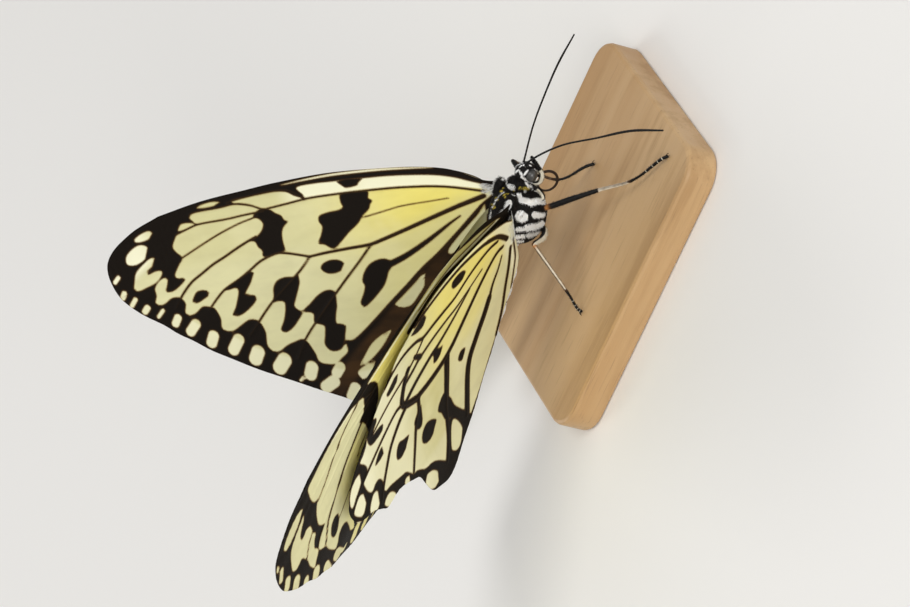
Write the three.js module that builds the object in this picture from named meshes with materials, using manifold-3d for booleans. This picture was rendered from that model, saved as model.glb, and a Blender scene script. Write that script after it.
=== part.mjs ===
// A paper kite butterfly (Idea leuconoe), life size, standing on a plain wooden base with its wings half raised.
// Millimetres, +Z up. The origin is the centre of the underside of the base. The head points along -Y and the
// butterfly's left side is +X.

import * as THREE from 'three';
import { mergeVertices } from 'three/addons/utils/BufferGeometryUtils.js';
import Module from 'manifold-3d';

const wasm = await Module();
wasm.setup();

// ---- Driving dimensions ----------------------------------------------------------------------------------------

const GAP = 0.3; // clearance between neighbouring pieces
const RAD = Math.PI / 180;

// The body frame: x to the butterfly's left, y towards its tail, z to its back, the origin in the thorax.
const PITCH = 12.5 * RAD; // the head is carried higher than the tail
const BODY_HEIGHT = 11.2; // the origin of the body frame over the soles

const BASE = { width: 40, length: 48, thickness: 5, corner: 4, edge: 0.6 };

const THORAX = { front: -4.7, rear: 4.1, halfWidth: 3.7, halfDepth: 4.3, lift: -0.1 };
const ABDOMEN = { front: 3.8, rear: 28.0, halfWidth: 2.0, halfDepth: 1.95, lift: -0.15, rise: 1.6, rings: 7 };
const HEAD = { middle: -7.3, halfLength: 1.35, halfWidth: 1.55, halfDepth: 1.75, lift: 0.1 };
const NECK = { radius: 1.0 };
// The first ring of the thorax, a full collar round the neck.
const COLLAR = { front: -6.35, rear: -4.1, halfWidth: 1.75, halfDepth: 2.1, lift: 0.5 };
// The scaled lobe over each forewing's root.
const TEGULA = { x: 2.75, y: -3.1, z: 2.45, radius: [1.0, 1.6, 1.0] };
const EYE = { x: 1.25, y: -7.25, z: -0.35, radius: [0.85, 1.05, 0.95] };
const PALP = { x: 1.0, radius: 0.36 };
const PROBOSCIS = { radius: 0.25, coil: 1.75, middle: [-5.9, -3.6], turns: 0.8 };
const ANTENNA = { radius: 0.2, club: 0.27 };
const LEG = { coxa: 0.7, femur: 0.44, tibia: 0.27, tarsus: 0.25, pad: 0.36 };

// Both wings of one side share one frame. a runs from the root to the forewing's tip, b across it to the front edge.
const WING = {
  length: 68,
  membrane: 0.5, // thickness between the veins
  vein: 0.2, // a vein's rise over either face
  veinHalfWidth: 0.42,
  edgeRise: 0.1,
  rows: 12,
  cellRow: 7, // the row at the end of the discal cell
};
// How each side is held, and how its forewing's surface leaves the flat plan. Roots are given for a left wing.
const HELD = {
  left: { raise: 40.3 * RAD, sweep: 43.3 * RAD, roll: 28.9 * RAD, root: [4.05, -1.93, 3.28],
    camber: { span: -5.6, twist: 5.9, chord: 0.5, tip: 4.1 }, curl: 0 },
  right: { raise: 40.8 * RAD, sweep: 42.4 * RAD, roll: 29.2 * RAD, root: [3.75, -1.97, 3.34],
    camber: { span: -8.2, twist: 6.3, chord: 0.3, tip: 3.3 }, curl: 0.24 },
};
const CURL = { start: 15, ease: 3 }; // where a forewing's rear part begins to curl up
// How far a hindwing lies under the forewing's surface: the same everywhere, and more and more towards the rear.
const HIND_DROP = { sheet: 1.5, slope: 0.12, start: 3, ease: 3 };

// Each wing is a fan of tracks from the root to the margin, in order from the front edge to the rear edge. `cell` is
// the point where the track passes the end of the discal cell, `from` the point where it starts to be a vein, and
// `worn` the last point on the right, where the margin has a nick.
const FOREWING_TRACKS = [
  { edge: true, cell: 7, from: 1, at: [[-2.4, 1.0], [0.5, 1.6], [5.3, 4.2], [10.5, 5.6], [16.6, 6.5], [25.6, 7.4],
    [34.6, 7.5], [40, 7.3], [48.5, 6.9], [56.5, 5.9]] },
  { cell: 5, from: 1, at: [[-2.4, 0.65], [0.7, 1.0], [5.8, 3.3], [12, 4.8], [24, 5.7], [37, 6.0], [50, 5.6],
    [62.6, 3.9]] },
  { cell: 5, from: 1, at: [[-2.4, 0.3], [1.8, 0.3], [10.2, 2.4], [20.3, 3.4], [29.9, 4.0], [38.2, 3.7], [46, 4.0],
    [53.8, 3.0], [61, 1.6], [67.7, 0.4]] },
  { cell: 5, from: 7, at: [[-2.4, 0.05], [1.8, 0], [10.2, 1.6], [20.3, 2.4], [29.9, 3.0], [38.6, 2.9], [46, 3.1],
    [53, 2.2], [60.5, -0.3], [68.4, -3.9]] },
  { cell: 5, from: 5, at: [[-2.4, -0.2], [1.8, -0.3], [10.2, 0.7], [20.3, 1.1], [29.9, 1.6], [39.3, 2.0], [47, 1.3],
    [54.5, -0.8], [61, -4.2], [66.6, -7.6]] },
  { cell: 5, from: 5, at: [[-2.4, -0.45], [1.8, -0.6], [10.2, -0.5], [20.3, -0.9], [30.5, -1.3], [41.0, -0.6],
    [48.5, -3.0], [56.9, -6.8], [61.8, -11.6]] },
  { cell: 7, from: 1, at: [[-2.4, -0.7], [1.5, -0.9], [9.4, -1.8], [15.3, -3.1], [22.5, -4.6], [32.9, -4.6],
    [38, -3.5], [41.1, -3.6], [51, -8.8], [57.6, -14.7]] },
  { cell: 6, from: 5, at: [[-2.4, -0.95], [1.5, -1.2], [9.4, -2.5], [15.3, -4.0], [22.5, -5.7], [31.5, -5.8],
    [36.3, -7.5], [45.1, -13.3], [52.6, -18.3]] },
  { cell: 5, from: 4, at: [[-2.4, -1.2], [1.5, -1.5], [9.2, -3.4], [15.0, -5.3], [22.0, -7.0], [30.8, -11.9],
    [37, -17.5], [43.5, -23.6]] },
  { cell: 3, from: 1, at: [[-2.4, -1.45], [2.0, -2.2], [12.9, -8.4], [22.3, -14.2], [28.2, -19.3], [35.2, -27.9]] },
  { edge: true, cell: 3, from: 1, at: [[-2.4, -1.7], [1.7, -3.0], [9, -8.4], [17, -14.8], [25, -22.4],
    [32.2, -29.3]] },
];
const HINDWING_TRACKS = [
  { edge: true, cell: 6, from: 1, at: [[-2.4, -2.2], [0.4, 0.3], [2.5, 2.1], [6.0, 3.8], [10.5, 5.1], [15.5, 5.9],
    [19.5, 6.3], [23, 6.7], [27, 6.9]] },
  { cell: 6, from: 1, at: [[-2.4, -2.5], [1.5, 0], [6.2, 2.7], [10, 4.0], [15.5, 4.8], [19.6, 5.2], [23.8, 5.7],
    [28.6, 6.1], [32.4, 5.9]] },
  { cell: 6, from: 1, at: [[-2.4, -2.8], [2.0, -0.9], [5.6, 1.1], [10.1, 2.0], [17.1, 2.3], [22.3, 2.2], [26.3, 2.8],
    [30, 4.1], [34, 4.6], [37.8, 3.3]] },
  { cell: 6, from: 6, at: [[-2.4, -3.05], [2.0, -1.3], [5.8, 0.3], [10.3, 0.9], [17.2, 1.0], [22.4, 0.9], [27.2, 1.2],
    [32.8, 0.6], [40.6, -0.3], [49.2, -3.2]] },
  { cell: 6, from: 6, at: [[-2.4, -3.3], [2.2, -1.8], [6.2, -0.6], [10.5, -0.4], [17.3, -1.1], [24, -1.9],
    [31.6, -2.9], [38.4, -4.1], [46.5, -5.8], [51.6, -8.0]] },
  { cell: 7, from: 1, at: [[-2.4, -3.6], [2.0, -2.2], [6.4, -2.0], [9.5, -2.9], [12.2, -3.9], [20, -6.4], [27, -6.4],
    [33.9, -5.2], [39.1, -7.8], [45.4, -13.9]] },
  { cell: 6, from: 6, worn: [37.2, -17.4], at: [[-2.4, -3.9], [2.0, -2.7], [6.4, -2.6], [9.6, -3.7], [12.2, -4.9],
    [20, -7.5], [29.8, -7.4], [33.8, -12.1], [36.5, -16.6], [39.6, -20.6]] },
  { cell: 6, from: 6, at: [[-2.4, -4.15], [2.0, -3.2], [6.2, -3.4], [9.4, -4.6], [12, -5.8], [17, -7.8], [22, -9.0],
    [24.4, -14.1], [26.7, -21.2], [30, -26.4]] },
  { cell: 5, from: 1, at: [[-2.4, -4.4], [1.5, -3.9], [4.5, -4.5], [7.3, -6.0], [11.9, -10.0], [17.5, -14.9],
    [21, -20.7], [23.2, -24.4]] },
  { cell: 5, from: 1, at: [[-2.4, -4.65], [0.6, -4.6], [2.6, -5.7], [4.8, -8.2], [7.4, -11.5], [10.2, -15.0],
    [14.8, -19.3]] },
  { edge: true, cell: 4, from: 1, at: [[-2.4, -4.9], [-1.0, -6.5], [0.5, -8.5], [3.1, -10.9], [6, -13.2],
    [8.8, -15.5]] },
];
const CELL_TRACKS = [2, 6]; // the discal cell lies between these two forewing tracks
const HIND_CELL_TRACKS = [2, 5];
const MARGIN_BULGE = 0.06; // how far the margin bows out between two veins, as a share of their distance

const COLOURS = {
  wing: 0xd9d3a4, ink: 0x262019, pile: 0x2b2622, eye: 0x3a3833, cream: 0xe2ddc8, wood: 0xb98d5f,
};

// ---- Frames and solids -----------------------------------------------------------------------------------------

const vector = ([x, y, z]) => new THREE.Vector3(x, y, z);
const bodyPoint = (right, forward, dorsal) => new THREE.Vector3(-right, -forward, dorsal);

const insect = new THREE.Group();
insect.rotation.x = -PITCH;
insect.position.z = BASE.thickness + GAP + BODY_HEIGHT;
insect.updateMatrixWorld(true);

function solidOf(geometry) {
  const plain = geometry.clone();
  plain.deleteAttribute('normal');
  plain.deleteAttribute('uv');
  const merged = mergeVertices(plain, 1e-4);
  return new wasm.Manifold(new wasm.Mesh({
    numProp: 3,
    vertProperties: new Float32Array(merged.attributes.position.array),
    triVerts: new Uint32Array(merged.index.array),
  }));
}

function geometryOf(solid) {
  const largest = solid.decompose().sort((p, q) => q.volume() - p.volume())[0];
  const mesh = largest.getMesh();
  return meshGeometry(mesh.vertProperties, mesh.triVerts);
}

function meshGeometry(positions, triangles) {
  const geometry = new THREE.BufferGeometry();
  geometry.setAttribute('position', new THREE.BufferAttribute(new Float32Array(positions), 3));
  geometry.setIndex(new THREE.BufferAttribute(new Uint32Array(triangles), 1));
  return geometry;
}

const without = (solid, ...cutters) => cutters.reduce((rest, cutter) => rest.subtract(cutter), solid);

// Closed skin over a stack of rings, with a single point at either end.
function stackedRings(rings, sides, first, last) {
  const positions = [...first.toArray()];
  rings.forEach((ring) => ring.forEach((point) => positions.push(...point.toArray())));
  positions.push(...last.toArray());
  const triangles = [];
  const at = (ring, side) => 1 + ring * sides + (side % sides);
  const end = 1 + rings.length * sides;
  for (let side = 0; side < sides; side += 1) {
    triangles.push(0, at(0, side + 1), at(0, side));
    triangles.push(end, at(rings.length - 1, side), at(rings.length - 1, side + 1));
    for (let ring = 0; ring + 1 < rings.length; ring += 1) {
      triangles.push(at(ring, side), at(ring, side + 1), at(ring + 1, side + 1));
      triangles.push(at(ring, side), at(ring + 1, side + 1), at(ring + 1, side));
    }
  }
  return meshGeometry(positions, triangles);
}

// A limb of round section along a smooth curve through the points, which are given as [right, forward, dorsal].
function limb(points, radii, { sides = 8, perSpan = 3, grow = 0 } = {}) {
  const curve = new THREE.CatmullRomCurve3(points.map((p) => bodyPoint(...p)), false, 'centripetal');
  const steps = (points.length - 1) * perSpan;
  const frames = curve.computeFrenetFrames(steps, false);
  const rings = [];
  for (let step = 0; step <= steps; step += 1) {
    const t = step / steps;
    const span = Math.min(Math.floor(t * (radii.length - 1)), radii.length - 2);
    const radius = THREE.MathUtils.lerp(radii[span], radii[span + 1], t * (radii.length - 1) - span) + grow;
    const centre = curve.getPointAt(t);
    if (step === 0) centre.addScaledVector(frames.tangents[0], -grow);
    if (step === steps) centre.addScaledVector(frames.tangents[steps], grow);
    const ring = [];
    for (let side = 0; side < sides; side += 1) {
      const angle = (side / sides) * 2 * Math.PI;
      ring.push(centre.clone()
        .addScaledVector(frames.normals[step], radius * Math.cos(angle))
        .addScaledVector(frames.binormals[step], radius * Math.sin(angle)));
    }
    rings.push(ring);
  }
  const tip = (step, way) => curve.getPointAt(step / steps)
    .addScaledVector(frames.tangents[step], way * (radii[step ? radii.length - 1 : 0] * 0.5 + grow * 1.5));
  return solidOf(stackedRings(rings, sides, tip(0, -1), tip(steps, 1)));
}

// ---- Body ------------------------------------------------------------------------------------------------------

// A pod lies along y. Its half width and half depth follow size(t) from 0 at the front to 1 at the rear.
function pod({ front, rear, halfWidth, halfDepth, lift, size, drop = () => 0, squareness = 1, rings = 14, sides = 24,
  grow = 0 }) {
  const stations = [];
  for (let i = 1; i < rings; i += 1) stations.push((1 - Math.cos((i / rings) * Math.PI)) / 2);
  const ringAt = (t) => {
    const ring = [];
    for (let side = 0; side < sides; side += 1) {
      const angle = (side / sides) * 2 * Math.PI;
      const bend = (value) => Math.sign(value) * Math.abs(value) ** squareness;
      ring.push(new THREE.Vector3(
        (halfWidth * size(t) + grow) * bend(Math.cos(angle)),
        THREE.MathUtils.lerp(front - grow, rear + grow, t),
        lift - drop(t) - (halfDepth * size(t) + grow) * bend(Math.sin(angle)),
      ));
    }
    return ring;
  };
  const end = (t, y) => new THREE.Vector3(0, y, lift - drop(t));
  return solidOf(stackedRings(stations.map(ringAt), sides, end(0, front - grow), end(1, rear + grow)));
}

const dome = (t) => Math.sqrt(Math.max(0, 1 - (2 * t - 1) ** 2));
const thorax = (grow = 0) => pod({ ...THORAX, grow, squareness: 0.88,
  size: (t) => dome(t) ** 0.64 * (0.93 + 0.07 * Math.cos(3 * (t - 0.5))) });
const head = (grow = 0) => pod({ front: HEAD.middle - HEAD.halfLength, rear: HEAD.middle + HEAD.halfLength,
  halfWidth: HEAD.halfWidth, halfDepth: HEAD.halfDepth, lift: HEAD.lift, grow, size: (t) => dome(t) ** 0.85,
  rings: 10, sides: 20 });

function abdomen() {
  const size = (t) => {
    const outline = Math.min(1, (t / 0.12) ** 0.5) * (1 - 0.3 * t) * Math.sqrt(Math.max(0, 1 - t ** 6));
    return outline * (1 - 0.05 * Math.cos(2 * Math.PI * ABDOMEN.rings * t));
  };
  return pod({ ...ABDOMEN, size, drop: (t) => -ABDOMEN.rise * t * t, rings: 4 * ABDOMEN.rings, sides: 18 });
}

function neck() {
  const back = -THORAX.front - 1.5;
  const front = -HEAD.middle;
  const tube = limb([[0, back, THORAX.lift], [0, front, HEAD.lift]], [NECK.radius, NECK.radius], { sides: 12 });
  return tube.add(pod({ ...COLLAR, size: (t) => dome(t) ** 0.7, rings: 8, sides: 20 }));
}

function ellipsoid({ x, y, z, radius }, side, grow) {
  const ball = new THREE.SphereGeometry(1, 16, 12);
  ball.scale(...radius.map((half) => half + grow));
  ball.translate(side * x, y, z);
  return solidOf(ball);
}

const eye = (side, grow = 0) => ellipsoid(EYE, side, grow);
const tegula = (side, grow = 0) => ellipsoid(TEGULA, side, grow);

// ---- Mouthparts and antennae -----------------------------------------------------------------------------------

const palp = (side) => limb([[side * 0.8, 6.3, -1.2], [side * PALP.x, 6.6, -2.1], [side * PALP.x, 7.5, -2.1],
  [side * 0.95, 8.4, -1.6], [side * 0.85, 9.2, -0.9]], [0.3, PALP.radius, PALP.radius, PALP.radius, 0.2],
{ perSpan: 3 });

function proboscis() {
  const [middleY, middleZ] = PROBOSCIS.middle;
  const points = [[0, 7.0, -0.9]];
  const steps = 12;
  for (let step = 0; step <= steps; step += 1) {
    const turn = (step / steps) * PROBOSCIS.turns;
    const angle = 60 * RAD - turn * 2 * Math.PI;
    const radius = PROBOSCIS.coil * (1 - 0.18 * turn);
    points.push([0, -middleY + radius * Math.cos(angle), middleZ + radius * Math.sin(angle)]);
  }
  return limb(points, [PROBOSCIS.radius, PROBOSCIS.radius, 0.18], { sides: 6, perSpan: 2 });
}

const antenna = (side, points) => limb([[side * 0.55, 7.6, 0.5], [side * 0.8, 9.3, 0.4], ...points],
  [ANTENNA.radius, ANTENNA.radius, ANTENNA.radius, ANTENNA.radius, ANTENNA.club, 0.25], { sides: 6, perSpan: 3 });
const ANTENNA_RIGHT = [[4.9, 14.2, -2.1], [9.4, 18.0, -5.4], [13.6, 21.5, -8.5], [17.4, 23.7, -11.6]];
const ANTENNA_LEFT = [[-4.0, 12.6, -1.2], [-7.4, 15.4, -3.3], [-11.6, 19.2, -6.3], [-15.5, 22.4, -9.6]];

// ---- Legs ------------------------------------------------------------------------------------------------------

// Everything under the soles, in the body frame: it gives each foot its flat.
function underSoles() {
  const block = new THREE.BoxGeometry(200, 200, 20);
  block.translate(0, 0, -10 + BASE.thickness + GAP);
  block.applyMatrix4(insect.matrixWorld.clone().invert());
  return solidOf(block);
}

const soleDorsal = (forward) => (-BODY_HEIGHT - forward * Math.sin(PITCH)) / Math.cos(PITCH);
const foot = ([right, forward]) => [right, forward, soleDorsal(forward) + 0.1];

// [hip, knee, ankle, foot], with the foot's height left to the floor.
const LEGS = {
  mid_right: { hip: [2.0, 2.5, -3.6], knee: [6.0, 7.7, -9.2], ankle: [9.4, 11.3, -12.6], toe: [13.1, 17.3] },
  mid_left: { hip: [-2.0, 2.5, -3.6], knee: [-7.6, 5.0, -0.9], ankle: [-6.5, 2.7, -8.0], toe: [-5.5, 6.0] },
  hind_right: { hip: [2.0, -1.0, -3.8], knee: [7.4, -0.9, -0.4], ankle: [9.2, -7.7, -6.6], toe: [9.9, -10.5] },
  hind_left: { hip: [-2.0, -1.0, -3.8], knee: [-7.6, -1.0, -0.4], ankle: [-11.6, -7.6, -6.4], toe: [-13.2, -10.6] },
};

function femur({ hip, knee }, grow = 0) {
  const root = [hip[0] * 0.6, hip[1] * 0.8, hip[2] + 1.6];
  return limb([root, hip, knee], [LEG.coxa, LEG.coxa, LEG.femur, LEG.femur * 0.8], { grow, perSpan: 3 });
}

function shank({ knee, ankle, toe }) {
  const sole = foot(toe);
  const heel = ankle.map((value, axis) => THREE.MathUtils.lerp(value, sole[axis], 0.85));
  heel[2] += 0.25;
  return limb([knee, ankle, heel, sole], [LEG.femur * 0.8, LEG.tibia, LEG.tarsus, LEG.pad], { perSpan: 3 });
}

const foreleg = (side) => limb([[side * 1.2, 2.6, -2.2], [side * 1.5, 3.8, -3.3], [side * 1.45, 4.7, -2.9],
  [side * 1.4, 5.3, -2.1]], [0.45, 0.4, 0.34, 0.24], { sides: 6, perSpan: 3 });

// ---- Wings -----------------------------------------------------------------------------------------------------

// A side's frame: the axes of a and b, and the normal to the upper face, for a left wing.
function wingFrame({ raise, sweep, roll }) {
  const a = vector([Math.cos(raise) * Math.cos(sweep), Math.cos(raise) * Math.sin(sweep), Math.sin(raise)]);
  const level = vector([Math.sin(sweep), -Math.cos(sweep), 0]);
  const b = level.clone().multiplyScalar(Math.cos(roll)).addScaledVector(level.clone().cross(a), Math.sin(roll));
  return { a, b, up: b.clone().cross(a) };
}

// 0 up to `start`, then rising evenly, eased in between.
const ramp = (value, { start, ease }) => (value - start + Math.hypot(value - start, ease)) / 2;

function sharedHeight({ camber }, a, b) {
  const u = a / WING.length;
  const v = b / WING.length;
  return camber.span * u * u + camber.twist * u * v + camber.chord * v * v + camber.tip * u * u * u;
}

const forewingHeight = (held, a, b) => sharedHeight(held, a, b) + held.curl * ramp(-b, CURL);
const hindwingHeight = (held, a, b) => sharedHeight(held, a, b) - HIND_DROP.sheet
  - HIND_DROP.slope * ramp(-b, HIND_DROP);

// The points of one track at every row: the rows share the end of the cell, with one row close on either side of it.
function trackRows({ at, cell }) {
  const { rows, cellRow } = WING;
  const curve = new THREE.CatmullRomCurve3(at.map(([a, b]) => new THREE.Vector3(a, b, 0)), false, 'centripetal');
  curve.arcLengthDivisions = 400;
  const total = curve.getLength();
  const lengths = curve.getLengths();
  const cellAt = lengths[Math.round((cell / (at.length - 1)) * 400)];
  const half = WING.veinHalfWidth;
  return Array.from({ length: rows + 1 }, (_, row) => {
    let along;
    if (row < cellRow) along = ((cellAt - half) * row) / (cellRow - 1);
    else if (row === cellRow) along = cellAt;
    else along = cellAt + half + ((total - cellAt - half) * (row - cellRow - 1)) / (rows - cellRow - 1);
    const point = curve.getPointAt(along / total);
    return [point.x, point.y];
  });
}

const mix = (p, q, share) => p.map((value, axis) => THREE.MathUtils.lerp(value, q[axis], share));
const distance = (p, q) => Math.hypot(p[0] - q[0], p[1] - q[1]);

// Columns of [point, rise] pairs: every inner track gives a vein's two feet and its crest, with one column of plain
// membrane between neighbouring tracks.
function wingColumns(tracks, [cellFirst, cellLast]) {
  const { rows, cellRow } = WING;
  const lines = tracks.map(trackRows);
  const columns = [];
  tracks.forEach((track, index) => {
    const line = lines[index];
    const start = Math.round((track.from / (track.at.length - 1)) * rows);
    const crest = (row) => (row >= start ? (track.edge ? WING.edgeRise : WING.vein) : 0);
    const inCell = index >= cellFirst && index <= cellLast;
    const across = (row) => (row === cellRow && inCell ? WING.vein : 0);
    const foot = (row, neighbour) => {
      const gap = distance(line[row], neighbour[row]);
      return mix(line[row], neighbour[row], Math.min(WING.veinHalfWidth, 0.28 * gap) / gap);
    };
    const rise = (height) => (row) => Math.max(height(row), across(row));
    const add = (place, height) => columns.push(line.map((_, row) => [place(row), height(row)]));
    const flat = () => 0;
    if (index > 0) {
      const before = lines[index - 1];
      const bulge = (row) => (row === rows ? MARGIN_BULGE * distance(line[row], before[row]) : 0);
      const outward = (row) => {
        const [p, q] = [before[row], line[row]];
        const size = distance(p, q);
        return [(p[1] - q[1]) / size, (q[0] - p[0]) / size].map((value) => value * bulge(row));
      };
      const middle = (row) => {
        const centre = mix(before[row], line[row], 0.5);
        const push = outward(row);
        return [centre[0] + push[0], centre[1] + push[1]];
      };
      const crosses = (row) => (index > cellFirst && inCell ? across(row) : 0);
      add(middle, crosses);
      if (!track.edge) add((row) => foot(row, before), index > cellFirst ? rise(flat) : flat);
    }
    add((row) => line[row], rise(crest));
    if (index + 1 < tracks.length && !track.edge) {
      add((row) => foot(row, lines[index + 1]), index < cellLast ? rise(flat) : flat);
    }
  });
  return columns;
}

// A closed sheet: both faces share their plan and their triangles, and the height is taken from the curved middle.
function wingSheet(tracks, cellTracks, heightAt, held) {
  const { rows } = WING;
  const columns = wingColumns(tracks, cellTracks);
  const frame = wingFrame(held);
  const positions = [];
  [1, -1].forEach((face) => columns.forEach((column) => column.forEach(([[a, b], rise]) => {
    const height = heightAt(held, a, b) + face * (WING.membrane / 2 + rise);
    positions.push(...vector(held.root).addScaledVector(frame.a, a).addScaledVector(frame.b, b)
      .addScaledVector(frame.up, height).toArray());
  })));
  const perFace = columns.length * (rows + 1);
  const at = (column, row) => column * (rows + 1) + row;
  const triangles = [];
  const quad = (p, q, r, s) => triangles.push(p, r, q, p, s, r);
  for (let column = 0; column + 1 < columns.length; column += 1) {
    for (let row = 0; row < rows; row += 1) {
      const [p, q, r, s] = [at(column, row), at(column + 1, row), at(column + 1, row + 1), at(column, row + 1)];
      quad(p, q, r, s);
      triangles.push(perFace + p, perFace + q, perFace + r, perFace + p, perFace + r, perFace + s);
    }
    const [root, tip] = [0, rows];
    quad(at(column + 1, root), at(column, root), perFace + at(column, root), perFace + at(column + 1, root));
    quad(at(column, tip), at(column + 1, tip), perFace + at(column + 1, tip), perFace + at(column, tip));
  }
  const last = columns.length - 1;
  for (let row = 0; row < rows; row += 1) {
    quad(at(0, row), at(0, row + 1), perFace + at(0, row + 1), perFace + at(0, row));
    quad(at(last, row + 1), at(last, row), perFace + at(last, row), perFace + at(last, row + 1));
  }
  return meshGeometry(positions, triangles);
}

// Right wings are worked out as left ones and mirrored. `worn` is where a track of theirs stops short of the margin.
function wing(tracks, cellTracks, heightAt, name) {
  const right = name === 'right';
  const own = tracks.map((track) => (right && track.worn
    ? { ...track, at: [...track.at.slice(0, -1), track.worn] } : track));
  const sheet = solidOf(wingSheet(own, cellTracks, heightAt, HELD[name]));
  return without(right ? sheet.mirror([1, 0, 0]) : sheet, thorax(GAP), tegula(right ? -1 : 1, GAP));
}

// ---- The base --------------------------------------------------------------------------------------------------

function base() {
  const { width, length, thickness, corner, edge } = BASE;
  const [x, y] = [width / 2 - edge, length / 2 - edge];
  const outline = new THREE.Shape();
  outline.moveTo(-x + corner, -y);
  outline.lineTo(x - corner, -y);
  outline.absarc(x - corner, -y + corner, corner, -Math.PI / 2, 0);
  outline.absarc(x - corner, y - corner, corner, 0, Math.PI / 2);
  outline.absarc(-x + corner, y - corner, corner, Math.PI / 2, Math.PI);
  outline.absarc(-x + corner, -y + corner, corner, Math.PI, 1.5 * Math.PI);
  const block = new THREE.ExtrudeGeometry(outline, {
    depth: thickness - 2 * edge, bevelEnabled: true, bevelThickness: edge, bevelSize: edge, bevelSegments: 2,
    curveSegments: 8,
  });
  block.translate(0, 0, edge);
  return block;
}

// ---- Assembly --------------------------------------------------------------------------------------------------

const finish = (color, roughness) => new THREE.MeshStandardMaterial({ color, roughness, metalness: 0 });
const FINISHES = {
  wing: finish(COLOURS.wing, 0.6),
  pile: finish(COLOURS.pile, 0.9),
  eye: finish(COLOURS.eye, 0.25),
  ink: finish(COLOURS.ink, 0.5),
  cream: finish(COLOURS.cream, 0.8),
  wood: finish(COLOURS.wood, 0.6),
};

const part = new THREE.Group();
part.add(insect);

function addMesh(parent, name, geometry, slot) {
  const mesh = new THREE.Mesh(geometry, FINISHES[slot]);
  mesh.name = name;
  parent.add(mesh);
}

const addPiece = (name, solid, slot) => addMesh(insect, name, geometryOf(solid), slot);

const SIDES = { left: 1, right: -1 };
addPiece('thorax', thorax(), 'pile');
addPiece('abdomen', without(abdomen(), thorax(GAP)), 'pile');
addPiece('neck', without(neck(), thorax(GAP), head(GAP), tegula(1, GAP), tegula(-1, GAP)), 'pile');
addPiece('head', without(head(), eye(1, GAP), eye(-1, GAP)), 'pile');
addPiece('proboscis', without(proboscis(), head(GAP)), 'ink');
addPiece('antenna_left', without(antenna(-1, ANTENNA_LEFT), head(GAP)), 'ink');
addPiece('antenna_right', without(antenna(1, ANTENNA_RIGHT), head(GAP)), 'ink');

Object.entries(SIDES).forEach(([name, side]) => {
  addPiece(`eye_${name}`, eye(side), 'eye');
  addPiece(`tegula_${name}`, without(tegula(side), thorax(GAP)), 'pile');
  addPiece(`palp_${name}`, without(palp(-side), head(GAP), eye(side, GAP)), 'cream');
  addPiece(`foreleg_${name}`, without(foreleg(-side), thorax(GAP)), 'pile');
  addPiece(`forewing_${name}`, wing(FOREWING_TRACKS, CELL_TRACKS, forewingHeight, name), 'wing');
  addPiece(`hindwing_${name}`, wing(HINDWING_TRACKS, HIND_CELL_TRACKS, hindwingHeight, name), 'wing');
});

Object.entries(LEGS).forEach(([name, leg]) => {
  addPiece(`leg_${name}_femur`, without(femur(leg), thorax(GAP)), 'ink');
  addPiece(`leg_${name}_tibia`, without(shank(leg), femur(leg, GAP), underSoles()), 'ink');
});

addMesh(part, 'stand_base', base(), 'wood');

export default part;
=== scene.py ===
"""The looks of a life-size paper kite butterfly on a plain wooden base.

Sizes are in millimetres in the body frame: x to the butterfly's left, y towards its tail, z to its back.
`placed` turns them into the frame's own metres. Wings are worked out on a flat plan, where a runs from the
root to the tip and b runs across to the front edge.
"""

import math

import bpy
import numpy as np
from mathutils import Matrix, Vector


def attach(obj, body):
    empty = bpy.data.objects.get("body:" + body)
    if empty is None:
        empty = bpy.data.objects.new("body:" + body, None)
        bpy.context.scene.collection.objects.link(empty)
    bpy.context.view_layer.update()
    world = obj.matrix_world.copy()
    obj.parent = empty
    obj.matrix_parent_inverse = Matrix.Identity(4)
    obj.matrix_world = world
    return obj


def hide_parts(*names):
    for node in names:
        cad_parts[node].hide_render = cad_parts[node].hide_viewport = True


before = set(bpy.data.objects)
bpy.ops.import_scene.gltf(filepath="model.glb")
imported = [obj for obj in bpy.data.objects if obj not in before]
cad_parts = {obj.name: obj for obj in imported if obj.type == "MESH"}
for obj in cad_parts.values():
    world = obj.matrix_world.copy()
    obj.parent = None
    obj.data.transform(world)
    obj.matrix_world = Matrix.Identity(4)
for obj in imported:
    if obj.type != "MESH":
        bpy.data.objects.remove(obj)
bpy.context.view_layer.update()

# ---- Driving dimensions, the same as the solids' -----------------------------------------------------------

MM = 0.001
PITCH = math.radians(12.5)  # how far the head is lifted
BASE_TOP = 5.0
FOOT_GAP = 0.3  # the feet's middle lines over the base's top
SOLE_DROP = 11.2  # from the body frame's origin down to the feet's middle lines
BODY_RISE = BASE_TOP + FOOT_GAP + SOLE_DROP  # the body frame's origin over the floor

THORAX = dict(front=-4.7, rear=4.1, half_width=3.7, half_depth=4.3, lift=-0.1)
ABDOMEN = dict(front=3.8, rear=28.0, half_width=2.0, half_depth=1.95, lift=-0.15, rise=1.6, rings=7)
HEAD = dict(middle=-7.3, half_length=1.35, half_width=1.55, half_depth=1.75, lift=0.1)
NECK_RADIUS = 1.0
COLLAR = dict(front=-6.35, rear=-4.1, half_width=1.75, half_depth=2.1, lift=0.5)
WAIST_RADIUS = 1.35
WAIST_SHARE = 0.75  # the skin's waist, as a share of the solids'
NECK_SPAN, WAIST_SPAN = (-7.6, -3.6), (3.0, 5.3)
THORAX_SQUARE = 0.88  # the power of its ring's sine and cosine: below 1 it is squarer than an ellipse
TEGULA = dict(place=(2.75, -3.1, 2.45), radius=(0.9, 1.5, 0.9))
EYE = dict(place=(1.25, -7.25, -0.37), radius=(0.85, 1.03, 0.87))
COAT_DEPTH, SCALE_DEPTH = 0.14, 0.06  # how far the skin lies under the solids' faces, for hair and for scales
GROOVE_DEPTH = 0.12
SKIN_FRONT, SKIN_REAR = -8.65, 27.97
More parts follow.
